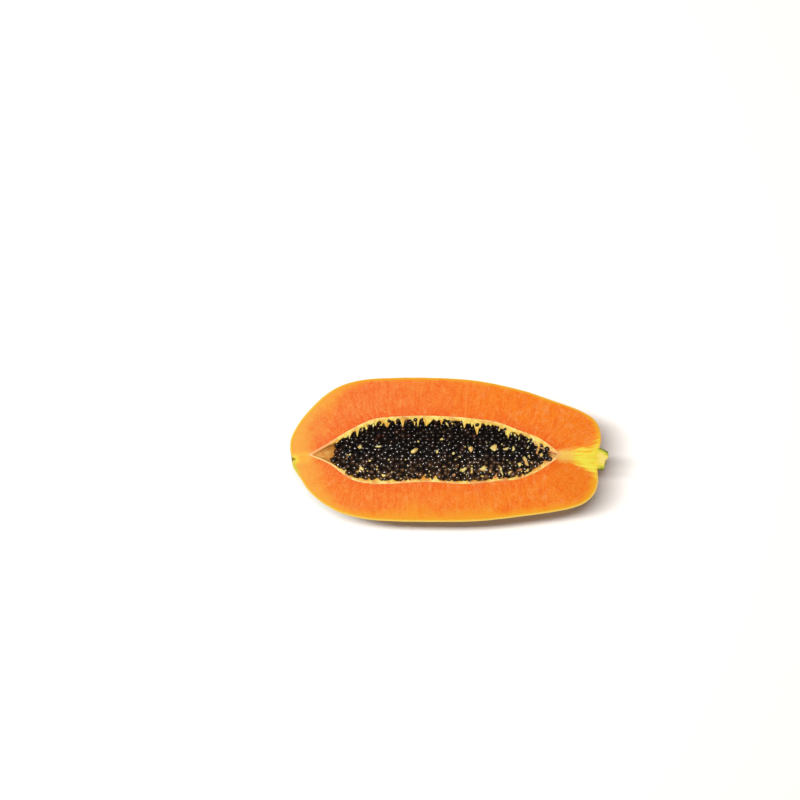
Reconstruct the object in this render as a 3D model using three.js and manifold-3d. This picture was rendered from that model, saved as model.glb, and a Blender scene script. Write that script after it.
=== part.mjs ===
// Half of a long ripe papaya, cut lengthwise through its seed cavity.
// It lies on its skin with the cut face level and up.
//
// Millimetres, +Z up. +X runs along the fruit towards the stem, and +Y is the fuller of its two sides,
// called "far" below; the flatter side, towards -Y, is "near". The origin is at the bottom centre.
//
// Three nodes:
//   half_fruit   skin, flesh and the stub of the stem, which grew as one piece, hollowed by the seed cavity
//   seed_lining  the pale stringy layer of the cavity wall, from which the seeds grow
//   seeds        the black seeds, bedded in their own mass
import * as THREE from "three";
import { mergeVertices } from "three/addons/utils/BufferGeometryUtils.js";
import Module from "manifold-3d";

const wasm = await Module();
wasm.setup();

// ---- Driving dimensions ----

// Outline of the cut fruit: points along each side, from the blossom end's pit over the nose, the belly and
// the shoulder to the middle of the stem end. Each is [place along the fruit, distance from its axis].
const FAR_SIDE = [
  [-129.4, 0], [-132.5, 3.4], [-133.5, 10.9], [-132.5, 18.1], [-128.6, 26.6], [-122.1, 36],
  [-112.8, 46.3], [-101.9, 55.8], [-88.5, 63.2], [-70, 67.4], [-48.1, 68.8], [-24.6, 69.2],
  [-1.1, 68.5], [22.4, 66.4], [45.1, 62.2], [66.1, 56.9], [84.6, 50.7], [101.4, 44.9],
  [114, 39.1], [122.4, 33.3], [126.6, 26], [127.9, 18.5], [127.1, 11.8], [125, 6], [124, 0],
];
const NEAR_SIDE = [
  [-129.4, 0], [-131.6, 2.5], [-131.1, 5.9], [-128.6, 10.5], [-124.4, 16.5], [-118.7, 25.2],
  [-110.7, 33.1], [-101.1, 39.8], [-88.5, 45.9], [-70, 50.3], [-48.1, 51.8], [-24.6, 52.4],
  [-1.1, 52.5], [22.4, 51.9], [45.1, 50], [66.1, 47.1], [84.6, 44.7], [99.7, 41.9],
  [111.5, 38.1], [119, 32.4], [123.6, 25.2], [125.2, 16.8], [124.9, 11.8], [124.4, 6], [124, 0],
];
const AXIS_Y = -8.35; // the fruit's axis, so that the outline is centred on Y = 0
const CUT_HEIGHT = 59.5; // of the cut face above the surface that the fruit lies on

// Seed cavity: its half-widths to the far and the near side, at stations equally spaced along it.
const CAVITY_FROM = -118.3;
const CAVITY_TO = 94.7;
const CAVITY_FAR = [0, 10.3, 21.1, 29.4, 32, 32.8, 32.7, 31.8, 30.1, 27.2, 20.5, 13.5, 0];
const CAVITY_NEAR = [0, 7.4, 20, 24, 24.1, 22.8, 22.7, 24.2, 23.9, 21.8, 20.2, 12.4, 0];
const CAVITY_AXIS_Y = -4.6;
const CAVITY_ROWS = 36;
const CAVITY_SIDES = 24;
const THINNEST = 0.25; // radius at which a space inside the cavity ends

const LOBES = 5; // carpels, which show as low ribs along the skin
const BELLY_LOBE = 0.014; // height of the ribs as a share of the radius
const SHOULDER_LOBE = 0.03; // and round the stem end, where they are highest

const LINING_THICKNESS = 1.9;
const JOINT_GAP = 0.3;

const STUB_RADIUS = 8.6;
const STUB_ROOT_X = 118;
const STUB_FAR_X = 133.6; // the broken end of the stub slants from here
const STUB_NEAR_X = 129.2; // to here

const SEED_DIAMETER = 5.4;
const SEED_SPACING = 5.8;
const SEEDS_FROM = -99;
const SEEDS_TO = 87;
const BED_HOLLOW = 9; // depth of the bed's trough under the far side of the cut
const FRONT_DROP = 6; // how far the bed falls where it stops short of the cavity's pointed end
const RANDOM_SEED = 20240611;

const COLOURS = { flesh: 0xf58a3c, lining: 0xf6dc9a, seed: 0x1d1613 };

// ---- Helpers ----

const smooth = (low, high, value) => THREE.MathUtils.smoothstep(value, low, high);

// The same draws on every run, from 0 to 1.
function randomDraws(seed) {
  let state = seed >>> 0;
  return () => {
    state = (Math.imul(state, 1664525) + 1013904223) >>> 0;
    return state / 4294967296;
  };
}

// A closed geometry through rings of equally many points, with each end drawn together in a pole.
function loft(rings, firstPole, lastPole) {
  const sides = rings[0].length;
  const last = 1 + rings.length * sides;
  const at = (ring, side) => 1 + ring * sides + (side % sides);
  const index = [];
  for (let side = 0; side < sides; side++) {
    index.push(0, at(0, side), at(0, side + 1));
    for (let ring = 0; ring + 1 < rings.length; ring++) {
      index.push(at(ring, side), at(ring + 1, side), at(ring + 1, side + 1));
      index.push(at(ring, side), at(ring + 1, side + 1), at(ring, side + 1));
    }
    index.push(last, at(rings.length - 1, side + 1), at(rings.length - 1, side));
  }
  const geometry = new THREE.BufferGeometry().setFromPoints([firstPole, ...rings.flat(), lastPole]);
  return geometry.setIndex(index);
}

function solidOf(geometry) {
  const bare = geometry.clone();
  bare.deleteAttribute("normal");
  bare.deleteAttribute("uv");
  const merged = mergeVertices(bare, 1e-4);
  return new wasm.Manifold(
    new wasm.Mesh({
      numProp: 3,
      vertProperties: merged.attributes.position.array,
      triVerts: new Uint32Array(merged.index.array),
    }),
  );
}

function geometryOf(solid) {
  const { vertProperties, triVerts } = solid.getMesh();
  const geometry = new THREE.BufferGeometry();
  geometry.setAttribute("position", new THREE.BufferAttribute(vertProperties, 3));
  geometry.setIndex(new THREE.BufferAttribute(triVerts, 1));
  geometry.computeVertexNormals();
  return geometry;
}

function block(from, to) {
  const size = new THREE.Vector3().subVectors(to, from);
  const middle = new THREE.Vector3().addVectors(from, to).multiplyScalar(0.5);
  const box = new THREE.BoxGeometry(size.x, size.y, size.z);
  return solidOf(box.translate(middle.x, middle.y, middle.z));
}

const curveThrough = (points) => new THREE.SplineCurve(points.map(([x, r]) => new THREE.Vector2(x, r)));

// A point at the given angle round an axis that lies in the cut: 0 is the far side, 90 degrees straight down.
const roundAxis = (x, axisY, radius, angle) =>
  new THREE.Vector3(x, axisY + radius * Math.cos(angle), CUT_HEIGHT - radius * Math.sin(angle));

// How much of the far side's profile holds at an angle; the near side's has the rest.
const farShare = (angle) => (1 + Math.cos(angle)) / 2;

// ---- The fruit ----

const farSide = curveThrough(FAR_SIDE);
const nearSide = curveThrough(NEAR_SIDE);

// Ribs of the carpels. They vanish where the cut runs, so the outline stays the true one.
function lobe(along, angle) {
  const shoulder = smooth(0.72, 0.86, along) * (1 - smooth(0.9, 0.99, along));
  const height = BELLY_LOBE * Math.sin(Math.PI * along) + SHOULDER_LOBE * shoulder;
  return 1 - height * Math.sin(LOBES * angle);
}

function skinPoint(along, angle) {
  const far = farSide.getPoint(along);
  const near = nearSide.getPoint(along);
  const { x, y: radius } = near.clone().lerp(far, farShare(angle));
  return roundAxis(x, AXIS_Y, radius * lobe(along, angle), angle);
}

function wholeFruit(rows, sides) {
  const ring = (row) =>
    Array.from({ length: sides }, (_, side) => skinPoint(row / rows, (2 * Math.PI * side) / sides));
  const rings = Array.from({ length: rows - 1 }, (_, row) => ring(row + 1));
  return solidOf(loft(rings, skinPoint(0, 0), skinPoint(1, 0)));
}

// What is left of the stem: a ragged stump whose broken end slants.
function stemStub(sides) {
  const ring = (x, slanted, radius) =>
    Array.from({ length: sides }, (_, side) => {
      const angle = (2 * Math.PI * side) / sides;
      const ragged = 1 + 0.06 * Math.sin(3 * angle + 0.6) + 0.05 * Math.sin(5 * angle);
      const end = THREE.MathUtils.lerp(STUB_NEAR_X, STUB_FAR_X, farShare(angle));
      return roundAxis(slanted ? end : x, AXIS_Y, radius * ragged, angle);
    });
  const rings = [
    ring(STUB_ROOT_X, false, STUB_RADIUS),
    ring(STUB_ROOT_X + 7, false, STUB_RADIUS),
    ring(0, true, STUB_RADIUS * 0.96),
  ];
  const pole = (x) => new THREE.Vector3(x, AXIS_Y, CUT_HEIGHT);
  return solidOf(loft(rings, pole(STUB_ROOT_X - 2), pole(STUB_FAR_X - 3)));
}

// ---- The seed cavity, and the spaces inside it ----

const stations = (radii) =>
  radii.map((r, i) => [THREE.MathUtils.lerp(CAVITY_FROM, CAVITY_TO, i / (radii.length - 1)), r]);
const cavityFar = curveThrough(stations(CAVITY_FAR));
const cavityNear = curveThrough(stations(CAVITY_NEAR));

// The cavity's wall at an angle, as [x, radius], drawn in by a depth square to the wall.
function wallAt(along, angle, depth) {
  const step = 0.002;
  const at = (t) => {
    const clamped = THREE.MathUtils.clamp(t, 0, 1);
    return cavityNear.getPoint(clamped).lerp(cavityFar.getPoint(clamped), farShare(angle));
  };
  const here = at(along);
  const before = at(along - step);
  const after = at(along + step);
  const slope = (after.y - before.y) / (after.x - before.x);
  return [here.x, here.y - depth * Math.hypot(1, slope)];
}

// The whole space inside the cavity's wall, a given depth in from it. Each has the same facets, so that
// the gap between two of them is even.
function cavitySpace(depth) {
  const rings = [];
  for (let row = 1; row < CAVITY_ROWS; row++) {
    const ring = [];
    for (let side = 0; side < CAVITY_SIDES; side++) {
      const angle = (2 * Math.PI * side) / CAVITY_SIDES;
      const [x, radius] = wallAt(row / CAVITY_ROWS, angle, depth);
      if (radius > THINNEST) ring.push(roundAxis(x, CAVITY_AXIS_Y, radius, angle));
    }
    if (ring.length === CAVITY_SIDES) rings.push(ring);
  }
  const pole = (ring) => new THREE.Vector3(ring[0].x, CAVITY_AXIS_Y, CUT_HEIGHT);
  return solidOf(loft(rings, pole(rings[0]), pole(rings.at(-1))));
}

// ---- The seeds ----

// How far across the cavity a point lies: 0 at the near wall of the lining, 1 at the far one.
function across(x, y) {
  const along = (x - CAVITY_FROM) / (CAVITY_TO - CAVITY_FROM);
  const near = CAVITY_AXIS_Y - wallAt(along, Math.PI, LINING_THICKNESS)[1];
  const far = CAVITY_AXIS_Y + wallAt(along, 0, LINING_THICKNESS)[1];
  return { near, far, share: (y - near) / (far - near) };
}

// Top of the seed mass: level with the cut on the near side, hollow under the far side, raised again
// against the far wall, and falling away where it stops short of the cavity's pointed end.
function bedHeight(x, y) {
  const { near, far, share } = across(x, y);
  const width = (far - near) / 52;
  const trough = BED_HOLLOW * width * Math.pow(THREE.MathUtils.clamp(share, 0, 1), 1.7);
  const wallRise = 0.55 * BED_HOLLOW * width * smooth(0.84, 1, share);
  const front = FRONT_DROP * (1 - smooth(SEEDS_FROM, SEEDS_FROM + 12, x));
  return CUT_HEIGHT - 1.2 - trough + wallRise - front;
}

function seedBed(rows, columns) {
  const [low, high] = [-40, 40];
  const ring = (row) => {
    const x = THREE.MathUtils.lerp(SEEDS_FROM - 1, SEEDS_TO + 1, row / rows);
    const top = Array.from({ length: columns + 1 }, (_, column) => {
      const y = THREE.MathUtils.lerp(low, high, column / columns);
      return new THREE.Vector3(x, y, bedHeight(x, y));
    });
    return [new THREE.Vector3(x, high, 0), new THREE.Vector3(x, low, 0), ...top];
  };
  const rings = Array.from({ length: rows + 1 }, (_, row) => ring(row));
  const pole = (ring) => new THREE.Vector3(ring[0].x, 0, CUT_HEIGHT / 2);
  return solidOf(loft(rings, pole(rings[0]), pole(rings.at(-1))));
}

// Seeds start on a loosened lattice and push each other apart, so they lie close without rows.
function seedPlaces() {
  const random = randomDraws(RANDOM_SEED);
  const rowPitch = (SEED_SPACING * Math.sqrt(3)) / 2;
  const margin = 0.5 * SEED_DIAMETER;
  const seeds = [];
  const held = (x, y) => {
    const { near, far } = across(x, y);
    return [near + margin, far - margin];
  };
  for (let row = 0; SEEDS_FROM + row * rowPitch <= SEEDS_TO; row++) {
    const x = SEEDS_FROM + row * rowPitch;
    for (let y = -40 + (row % 2) * 0.5 * SEED_SPACING; y < 40; y += SEED_SPACING) {
      const [low, high] = held(x, y);
      const loosened = {
        x: x + (random() - 0.5) * 0.8 * SEED_SPACING,
        y: y + (random() - 0.5) * 0.8 * SEED_SPACING,
        lift: random(),
        size: 0.88 + 0.22 * random(),
        turn: [random(), random(), random()],
      };
      if (y > low - 0.3 * SEED_SPACING && y < high + 0.3 * SEED_SPACING) seeds.push(loosened);
    }
  }
  for (let pass = 0; pass < 14; pass++) {
    for (let i = 0; i < seeds.length; i++) {
      for (let j = i + 1; j < seeds.length; j++) {
        const dx = seeds[j].x - seeds[i].x;
        const dy = seeds[j].y - seeds[i].y;
        const apart = Math.hypot(dx, dy);
        if (apart >= SEED_SPACING || apart < 1e-6) continue;
        const push = (0.5 * (SEED_SPACING - apart)) / apart;
        seeds[i].x -= push * dx;
        seeds[i].y -= push * dy;
        seeds[j].x += push * dx;
        seeds[j].y += push * dy;
      }
    }
    for (const seed of seeds) {
      seed.x = THREE.MathUtils.clamp(seed.x, SEEDS_FROM, SEEDS_TO);
      const [low, high] = held(seed.x, seed.y);
      seed.y = low < high ? THREE.MathUtils.clamp(seed.y, low, high) : (low + high) / 2;
    }
  }
  return seeds;
}

function seedSolid({ x, y, lift, size, turn }) {
  const ball = new THREE.IcosahedronGeometry(0.5 * SEED_DIAMETER * size, 0);
  ball.scale(1.06, 0.94, 0.94);
  ball.rotateX(2 * Math.PI * turn[0]);
  ball.rotateY(2 * Math.PI * turn[1]);
  ball.rotateZ(2 * Math.PI * turn[2]);
  ball.translate(x, y, bedHeight(x, y) + (lift - 0.35) * 0.35 * SEED_DIAMETER);
  return solidOf(ball);
}

// ---- Assembly ----

const FAR_AWAY = 400;
const otherHalf = block(
  new THREE.Vector3(-FAR_AWAY, -FAR_AWAY, CUT_HEIGHT),
  new THREE.Vector3(FAR_AWAY, FAR_AWAY, FAR_AWAY),
);
const underSurface = block(
  new THREE.Vector3(-FAR_AWAY, -FAR_AWAY, -FAR_AWAY),
  new THREE.Vector3(FAR_AWAY, FAR_AWAY, 0),
);

const halfFruit = wholeFruit(48, 44)
  .add(stemStub(14))
  .subtract(cavitySpace(0))
  .subtract(otherHalf)
  .subtract(underSurface);

const seedLining = cavitySpace(JOINT_GAP)
  .subtract(cavitySpace(LINING_THICKNESS))
  .subtract(otherHalf);

const seedSpace = cavitySpace(LINING_THICKNESS + JOINT_GAP);
const aboveCut = otherHalf.translate([0, 0, JOINT_GAP]);
const seedMass = seedBed(16, 6).intersect(seedSpace);
const seeds = wasm.Manifold.union([seedMass, ...seedPlaces().map(seedSolid)]).intersect(
  seedSpace.add(aboveCut),
);

function node(name, solid, color, roughness) {
  const material = new THREE.MeshStandardMaterial({ name, color, roughness, metalness: 0 });
  const mesh = new THREE.Mesh(geometryOf(solid), material);
  mesh.name = name;
  return mesh;
}

const papayaHalf = new THREE.Group();
papayaHalf.name = "papaya_half";
papayaHalf.add(
  node("half_fruit", halfFruit, COLOURS.flesh, 0.45),
  node("seed_lining", seedLining, COLOURS.lining, 0.55),
  node("seeds", seeds, COLOURS.seed, 0.2),
);

export default papayaHalf;
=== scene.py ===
# %% [markdown]
# # Half a ripe papaya
# A long papaya has been cut lengthwise, through the hollow that holds its seeds. It lies on its skin with
# the cut face up. The solids that carry it are already packed as a frame, so this lesson gives them their
# finished surfaces: skin, flesh, the pale lining of the hollow, the seeds and the stump of the stem.
#
# Every length in the fruit's own tables is in millimetres, and Blender works in metres, so `MM` turns one
# into the other at the last moment.

import math

import bpy
import numpy as np
from mathutils import Euler, Matrix, Vector, noise


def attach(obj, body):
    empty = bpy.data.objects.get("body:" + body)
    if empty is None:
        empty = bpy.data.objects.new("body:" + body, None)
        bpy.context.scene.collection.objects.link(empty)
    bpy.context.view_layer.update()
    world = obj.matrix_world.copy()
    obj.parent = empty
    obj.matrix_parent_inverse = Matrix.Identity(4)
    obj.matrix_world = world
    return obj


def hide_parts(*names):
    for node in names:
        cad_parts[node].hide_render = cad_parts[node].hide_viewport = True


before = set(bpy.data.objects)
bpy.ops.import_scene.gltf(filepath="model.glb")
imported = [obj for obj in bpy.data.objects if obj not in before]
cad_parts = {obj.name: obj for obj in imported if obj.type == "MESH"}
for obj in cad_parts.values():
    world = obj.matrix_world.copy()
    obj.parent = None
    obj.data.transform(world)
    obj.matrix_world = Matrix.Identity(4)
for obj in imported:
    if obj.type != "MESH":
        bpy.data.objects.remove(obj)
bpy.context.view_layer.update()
MM = 0.001


def in_mm(lengths):
    return [round(length / MM, 1) for length in lengths]


# %% [markdown]
# ## The outline of the fruit
# A papaya is never quite round: here the far side is fuller than the near side. Each side is a row of
# points from the pit at the blossom end, over the nose, the belly and the shoulder, to the middle of the
# stem end. A smooth curve runs through each row, and at any angle round the fruit's axis the surface
# blends the two. That is how a modeller would read a lathe profile off a real fruit that bulges one way.

# %% Outline and hollow, in millimetres
FAR_SIDE = [
    (-129.4, 0), (-132.5, 3.4), (-133.5, 10.9), (-132.5, 18.1), (-128.6, 26.6), (-122.1, 36),
    (-112.8, 46.3), (-101.9, 55.8), (-88.5, 63.2), (-70, 67.4), (-48.1, 68.8), (-24.6, 69.2),
    (-1.1, 68.5), (22.4, 66.4), (45.1, 62.2), (66.1, 56.9), (84.6, 50.7), (101.4, 44.9),
    (114, 39.1), (122.4, 33.3), (126.6, 26), (127.9, 18.5), (127.1, 11.8), (125, 6), (124, 0),
]
NEAR_SIDE = [
    (-129.4, 0), (-131.6, 2.5), (-131.1, 5.9), (-128.6, 10.5), (-124.4, 16.5), (-118.7, 25.2),
    (-110.7, 33.1), (-101.1, 39.8), (-88.5, 45.9), (-70, 50.3), (-48.1, 51.8), (-24.6, 52.4),
    (-1.1, 52.5), (22.4, 51.9), (45.1, 50), (66.1, 47.1), (84.6, 44.7), (99.7, 41.9),
    (111.5, 38.1), (119, 32.4), (123.6, 25.2), (125.2, 16.8), (124.9, 11.8), (124.4, 6), (124, 0),
]
AXIS_Y = -8.35
CUT_HEIGHT = 59.5
HOLLOW_FROM, HOLLOW_TO = -118.3, 94.7
HOLLOW_FAR = [0, 10.3, 21.1, 29.4, 32, 32.8, 32.7, 31.8, 30.1, 27.2, 20.5, 13.5, 0]
HOLLOW_NEAR = [0, 7.4, 20, 24, 24.1, 22.8, 22.7, 24.2, 23.9, 21.8, 20.2, 12.4, 0]
HOLLOW_AXIS_Y = -4.6


def curve_through(points):
    """A function of 0 to 1 that runs smoothly through every point."""
    points = np.array(points, float)
    last = len(points) - 1

    def at(along):
        place = min(max(along, 0.0), 1.0) * last
        i = min(int(place), last)
        w = place - i
        p0, p1 = points[max(i - 1, 0)], points[i]
        p2, p3 = points[min(i + 1, last)], points[min(i + 2, last)]
        v0, v1 = (p2 - p0) / 2, (p3 - p1) / 2
        return (2 * p1 - 2 * p2 + v0 + v1) * w**3 + (3 * p2 - 3 * p1 - 2 * v0 - v1) * w**2 + v0 * w + p1

    return at


def stations(radii):
    """Radii of the hollow as points at even steps along it."""
    count = len(radii) - 1
    return [(HOLLOW_FROM + (HOLLOW_TO - HOLLOW_FROM) * i / count, r) for i, r in enumerate(radii)]


far_side, near_side = curve_through(FAR_SIDE), curve_through(NEAR_SIDE)
hollow_far, hollow_near = curve_through(stations(HOLLOW_FAR)), curve_through(stations(HOLLOW_NEAR))
print("widest:", round(max(far_side(i / 200)[1] + near_side(i / 200)[1] for i in range(201)), 1), "mm")

# %% [markdown]
# ## Places on the skin and on the wall of the hollow
# Both surfaces are described the same way: how far along, and at what angle round an axis that lies in
# the cut. Angle 0 is the far edge of the cut, a quarter turn points straight down. The skin also has five
# low ribs, one for each carpel of the flower, and gentle dents, since no fruit is perfectly smooth.

# %% Places on the fruit
LOBES, BELLY_LOBE, SHOULDER_LOBE = 5, 0.014, 0.03
DENT_DEPTH, DENT_SIZE = 0.35, 26.0


def smooth_step(low, high, value):
    """0 below low, 1 above high, and a soft slope between."""
    t = min(max((value - low) / (high - low), 0.0), 1.0)
    return t * t * (3 - 2 * t)


def far_share(angle):
    """How far a point belongs to the far side: 1 at its edge, 0 at the near edge."""
    return (1 + math.cos(angle)) / 2


def round_axis(x, axis_y, radius, angle):
    """A point at this radius and angle round an axis in the cut."""
    return Vector((x, axis_y + radius * math.cos(angle), CUT_HEIGHT - radius * math.sin(angle)))


def skin_place(along, angle):
    """A point of the skin, in millimetres."""
    share = far_share(angle)
    x, radius = near_side(along) * (1 - share) + far_side(along) * share
    shoulder = smooth_step(0.72, 0.86, along) * (1 - smooth_step(0.9, 0.99, along))
    rib = BELLY_LOBE * math.sin(math.pi * along) + SHOULDER_LOBE * shoulder
    radius *= 1 - rib * math.sin(LOBES * angle)
    place = round_axis(x, AXIS_Y, radius, angle)
    dent = noise.noise(place / DENT_SIZE) + 0.4 * noise.noise(place / (0.4 * DENT_SIZE))
    radius += DENT_DEPTH * dent * min(radius / 20, 1)
    place = round_axis(x, AXIS_Y, radius, angle)
    place.z = max(place.z, 0)
    return place


def wall_at(along, angle, depth):
    """Place along and radius of the hollow's wall, drawn in by a depth square to it."""
    share = far_share(angle)
    here, before, after = (
        hollow_near(min(max(t, 0), 1)) * (1 - share) + hollow_far(min(max(t, 0), 1)) * share
        for t in (along, along - 0.002, along + 0.002)
    )
    slope = (after[1] - before[1]) / (after[0] - before[0])
    return here[0], here[1] - depth * math.hypot(1, slope)


print("belly:", [round(v, 1) for v in skin_place(0.5, math.pi / 2)])

# %% [markdown]
# ## Small tools for modelling
# An operator works on whatever is selected, and loading the frame leaves its solids selected. So the first
# habit is to clear the selection before adding anything. The second is to end each piece with its mesh in
# place and its object at the origin, which keeps patterns from sliding over it.

# %% Select, edit and name


def select_only(*pieces):
    bpy.ops.object.select_all(action="DESELECT")
    for piece in pieces:
        piece.select_set(True)
    bpy.context.view_layer.objects.active = pieces[0] if pieces else None


def edit(piece):
    select_only(piece)
    bpy.ops.object.mode_set(mode="EDIT")
    bpy.ops.mesh.select_all(action="SELECT")


def done():
    bpy.ops.object.mode_set(mode="OBJECT")


def named(name):
    """Names the piece that was made last."""
    piece = bpy.context.object
    piece.name = piece.data.name = name
    return piece


def move_vertices(piece, to):
    """Every vertex goes where the function says, given where it is."""
    for vertex in piece.data.vertices:
        vertex.co = to(vertex.co)


# %% Mould a ball, turn its faces out and report


def half_ball(name, rings, spokes, whole=False):
    """A ball of radius 1 whose poles lie along X, cut level so that its lower half stays."""
    select_only()
    bpy.ops.mesh.primitive_uv_sphere_add(segments=spokes, ring_count=rings, radius=1)
    ball = named(name)
    edit(ball)
    bpy.ops.transform.rotate(value=math.pi / 2, orient_axis="Y", center_override=(0, 0, 0))
    if not whole:
        bpy.ops.mesh.bisect(plane_co=(0, 0, 0), plane_no=(0, 0, 1), clear_outer=True)
    done()
    return ball


def along_and_angle(co):
    """Where a point of such a ball lies: from pole to pole, and round the axis. In the cut itself the angle
    is set outright, since a zero with a minus sign would turn it into minus pi."""
    at_cut = 0.0 if co.y > 0 else math.pi
    angle = at_cut if abs(co.z) < 1e-6 else math.atan2(-co.z, co.y)
    return math.acos(max(-1, min(1, -co.x))) / math.pi, angle


def face_outwards(piece, sharp_from):
    edit(piece)
    bpy.ops.mesh.normals_make_consistent(inside=False)
    done()
    bpy.ops.object.shade_smooth_by_angle(angle=math.radians(sharp_from))


def report(piece):
    mesh = piece.data
    mesh.calc_loop_triangles()
    places = np.array([v.co for v in mesh.vertices])
    low, high = in_mm(places.min(axis=0)), in_mm(places.max(axis=0))
    print(piece.name, len(mesh.loop_triangles), "triangles, from", low, "to", high)


# %% [markdown]
# ## The skin
# A papaya's skin is under a millimetre thick, and where the knife went through, it shows as a fine golden
# line round the flesh. One way to make it is to paint that line on the flesh, but then the line would have
# no edge of its own. Here the lower half of a ball is moulded to the fruit's outline, and a Solidify
# modifier gives it real thickness inwards.

# %% Model the skin
SKIN_THICKNESS = 0.9
FRUIT_RINGS, FRUIT_SPOKES = 200, 128


def level_rim(piece, height, reach):
    """Brings the vertices next to the cut onto one level."""
    for vertex in piece.data.vertices:
        if abs(vertex.co.z - CUT_HEIGHT * MM) < reach * MM:
            vertex.co.z = height * MM


def apply_modifier(piece, kind, **settings):
    select_only(piece)
    modifier = piece.modifiers.new(kind.title(), kind)
    for name, value in settings.items():
        setattr(modifier, name, value)
    bpy.ops.object.modifier_apply(modifier=modifier.name)


def moulded_to_fruit(name):
    bowl = half_ball(name, FRUIT_RINGS, FRUIT_SPOKES)
    move_vertices(bowl, lambda co: skin_place(*along_and_angle(co)) * MM)
    return bowl


skin = moulded_to_fruit("skin")
apply_modifier(skin, "SOLIDIFY", thickness=SKIN_THICKNESS * MM, offset=-1)
level_rim(skin, CUT_HEIGHT - 0.05, 0.3)
face_outwards(skin, 50)
report(skin)

# %% [markdown]
# ## The flesh
# The flesh fills everything between the skin and the hollow. Its outside is the same moulded bowl, drawn in
# by a little less than the skin's thickness, so that the two overlap out of sight. The hollow is a second,
# smaller bowl. Bridging the two rims makes the cut face, and the cuts of the bridge leave enough vertices
# across it to carry its colours and a knife's faint waviness.

# %% Model the flesh
FACE_CUTS, HOLLOW_SPOKES = 26, 48
STEP_COUNT = 400
fruit_steps = [far_side(i / STEP_COUNT) for i in range(STEP_COUNT + 1)]
step_lengths = [np.linalg.norm(b - a) for a, b in zip(fruit_steps, fruit_steps[1:])]
fruit_arc = np.concatenate([[0], np.cumsum(step_lengths)])
fruit_reach = np.maximum.accumulate([p[0] for p in fruit_steps])


def hollow_beside(along):
    """The place along the hollow that lies across from a place along the skin."""
    arc = np.interp(along * STEP_COUNT, range(STEP_COUNT + 1), fruit_arc) / fruit_arc[-1]
    reach = np.interp(along * STEP_COUNT, range(STEP_COUNT + 1), fruit_reach)
    straight = (reach - fruit_reach[0]) / (fruit_reach[-1] - fruit_reach[0])
    return 0.5 * arc + 0.5 * straight


def wall_place(along, angle, depth=0):
    x, radius = wall_at(along, angle, depth)
    return round_axis(x, HOLLOW_AXIS_Y, max(radius, 0), angle)


def hollow_place(co):
    along, angle = along_and_angle(co)
    return wall_place(hollow_beside(along), angle) * MM


def lined_with(outer, inner, cuts):
    """Joins an inner bowl to an outer one, with a level face between their rims. The inner bowl's faces are
    turned to look into the hollow first, because the bridge follows the way that the faces wind."""
    edit(inner)
    bpy.ops.mesh.flip_normals()
    done()
    select_only(outer, inner)
    bpy.ops.object.join()
    edit(outer)
    bpy.ops.mesh.select_all(action="DESELECT")
    bpy.ops.mesh.select_mode(type="EDGE")
    bpy.ops.mesh.select_non_manifold(
        use_wire=False, use_multi_face=False, use_non_contiguous=False, use_verts=False
    )
    bpy.ops.mesh.bridge_edge_loops(number_cuts=cuts, interpolation="LINEAR")
    done()


flesh = moulded_to_fruit("flesh")
apply_modifier(flesh, "DISPLACE", strength=-0.85 * SKIN_THICKNESS * MM, mid_level=0)
level_rim(flesh, CUT_HEIGHT, 0.3)
hollow = half_ball("hollow", FRUIT_RINGS, HOLLOW_SPOKES)
move_vertices(hollow, hollow_place)
lined_with(flesh, hollow, FACE_CUTS)
report(flesh)

# %% [markdown]
# ## What the cut face knows about itself
# The flesh is not one colour: it is yellow under the skin, redder beside the hollow, and lemon yellow where
# the stem's veins enter. Such colours follow the fruit's shape, so no flat texture would fit. Instead each
# vertex of the face stores how deep under the skin it is, how far from the hollow, and its place round the
# outline. The material reads these as attributes.

# %% Measure the cut face


def line_of(place, count=700):
    """A closed line in the cut, from the blossom end along the far side and back along the near side."""
    there = [place(i / count, 0.0) for i in range(count)]
    back = [place(1 - i / count, math.pi) for i in range(count)]
    return np.array([(p[0], p[1]) for p in there + back])


def distance_to_line(points, line):
    """For each point: its distance from the line, how far along the line the nearest place is, signed by
    side, and which step of the line holds that place."""
    starts, steps = line, np.roll(line, -1, axis=0) - line
    lengths = np.linalg.norm(steps, axis=1)
    arc = np.concatenate([[0], np.cumsum(lengths)])
    best, where, step = np.full(len(points), 1e9), np.zeros(len(points)), np.zeros(len(points), int)
    for i in range(len(line)):
        if lengths[i] < 1e-9:
            continue
        share = np.clip(((points - starts[i]) @ steps[i]) / lengths[i] ** 2, 0, 1)
        gap = np.linalg.norm(points - starts[i] - share[:, None] * steps[i], axis=1)
        nearer = gap < best
        best[nearer] = gap[nearer]
        where[nearer] = (arc[i] + share * lengths[i])[nearer]
        step[nearer] = i
    half = arc[len(line) // 2]
    return best, np.where(where > half, where - arc[-1], where), step


def store(piece, name, values):
    """Keeps a number on every vertex, where a material can read it by name."""
    layer = piece.data.attributes.new(name, "FLOAT", "POINT")
    layer.data.foreach_set("value", np.asarray(values, np.float32))


def eased(piece, values, passes):
    """Each vertex moves halfway to the mean of its neighbours, again and again, so that kinks fade."""
    pairs = np.array([edge.vertices for edge in piece.data.edges])
    neighbours = np.bincount(pairs.ravel(), minlength=len(values))
    for _ in range(passes):
        total = np.bincount(pairs[:, 0], values[pairs[:, 1]], len(values))
        total += np.bincount(pairs[:, 1], values[pairs[:, 0]], len(values))
        values = 0.5 * values + 0.5 * total / neighbours
    return values


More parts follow.
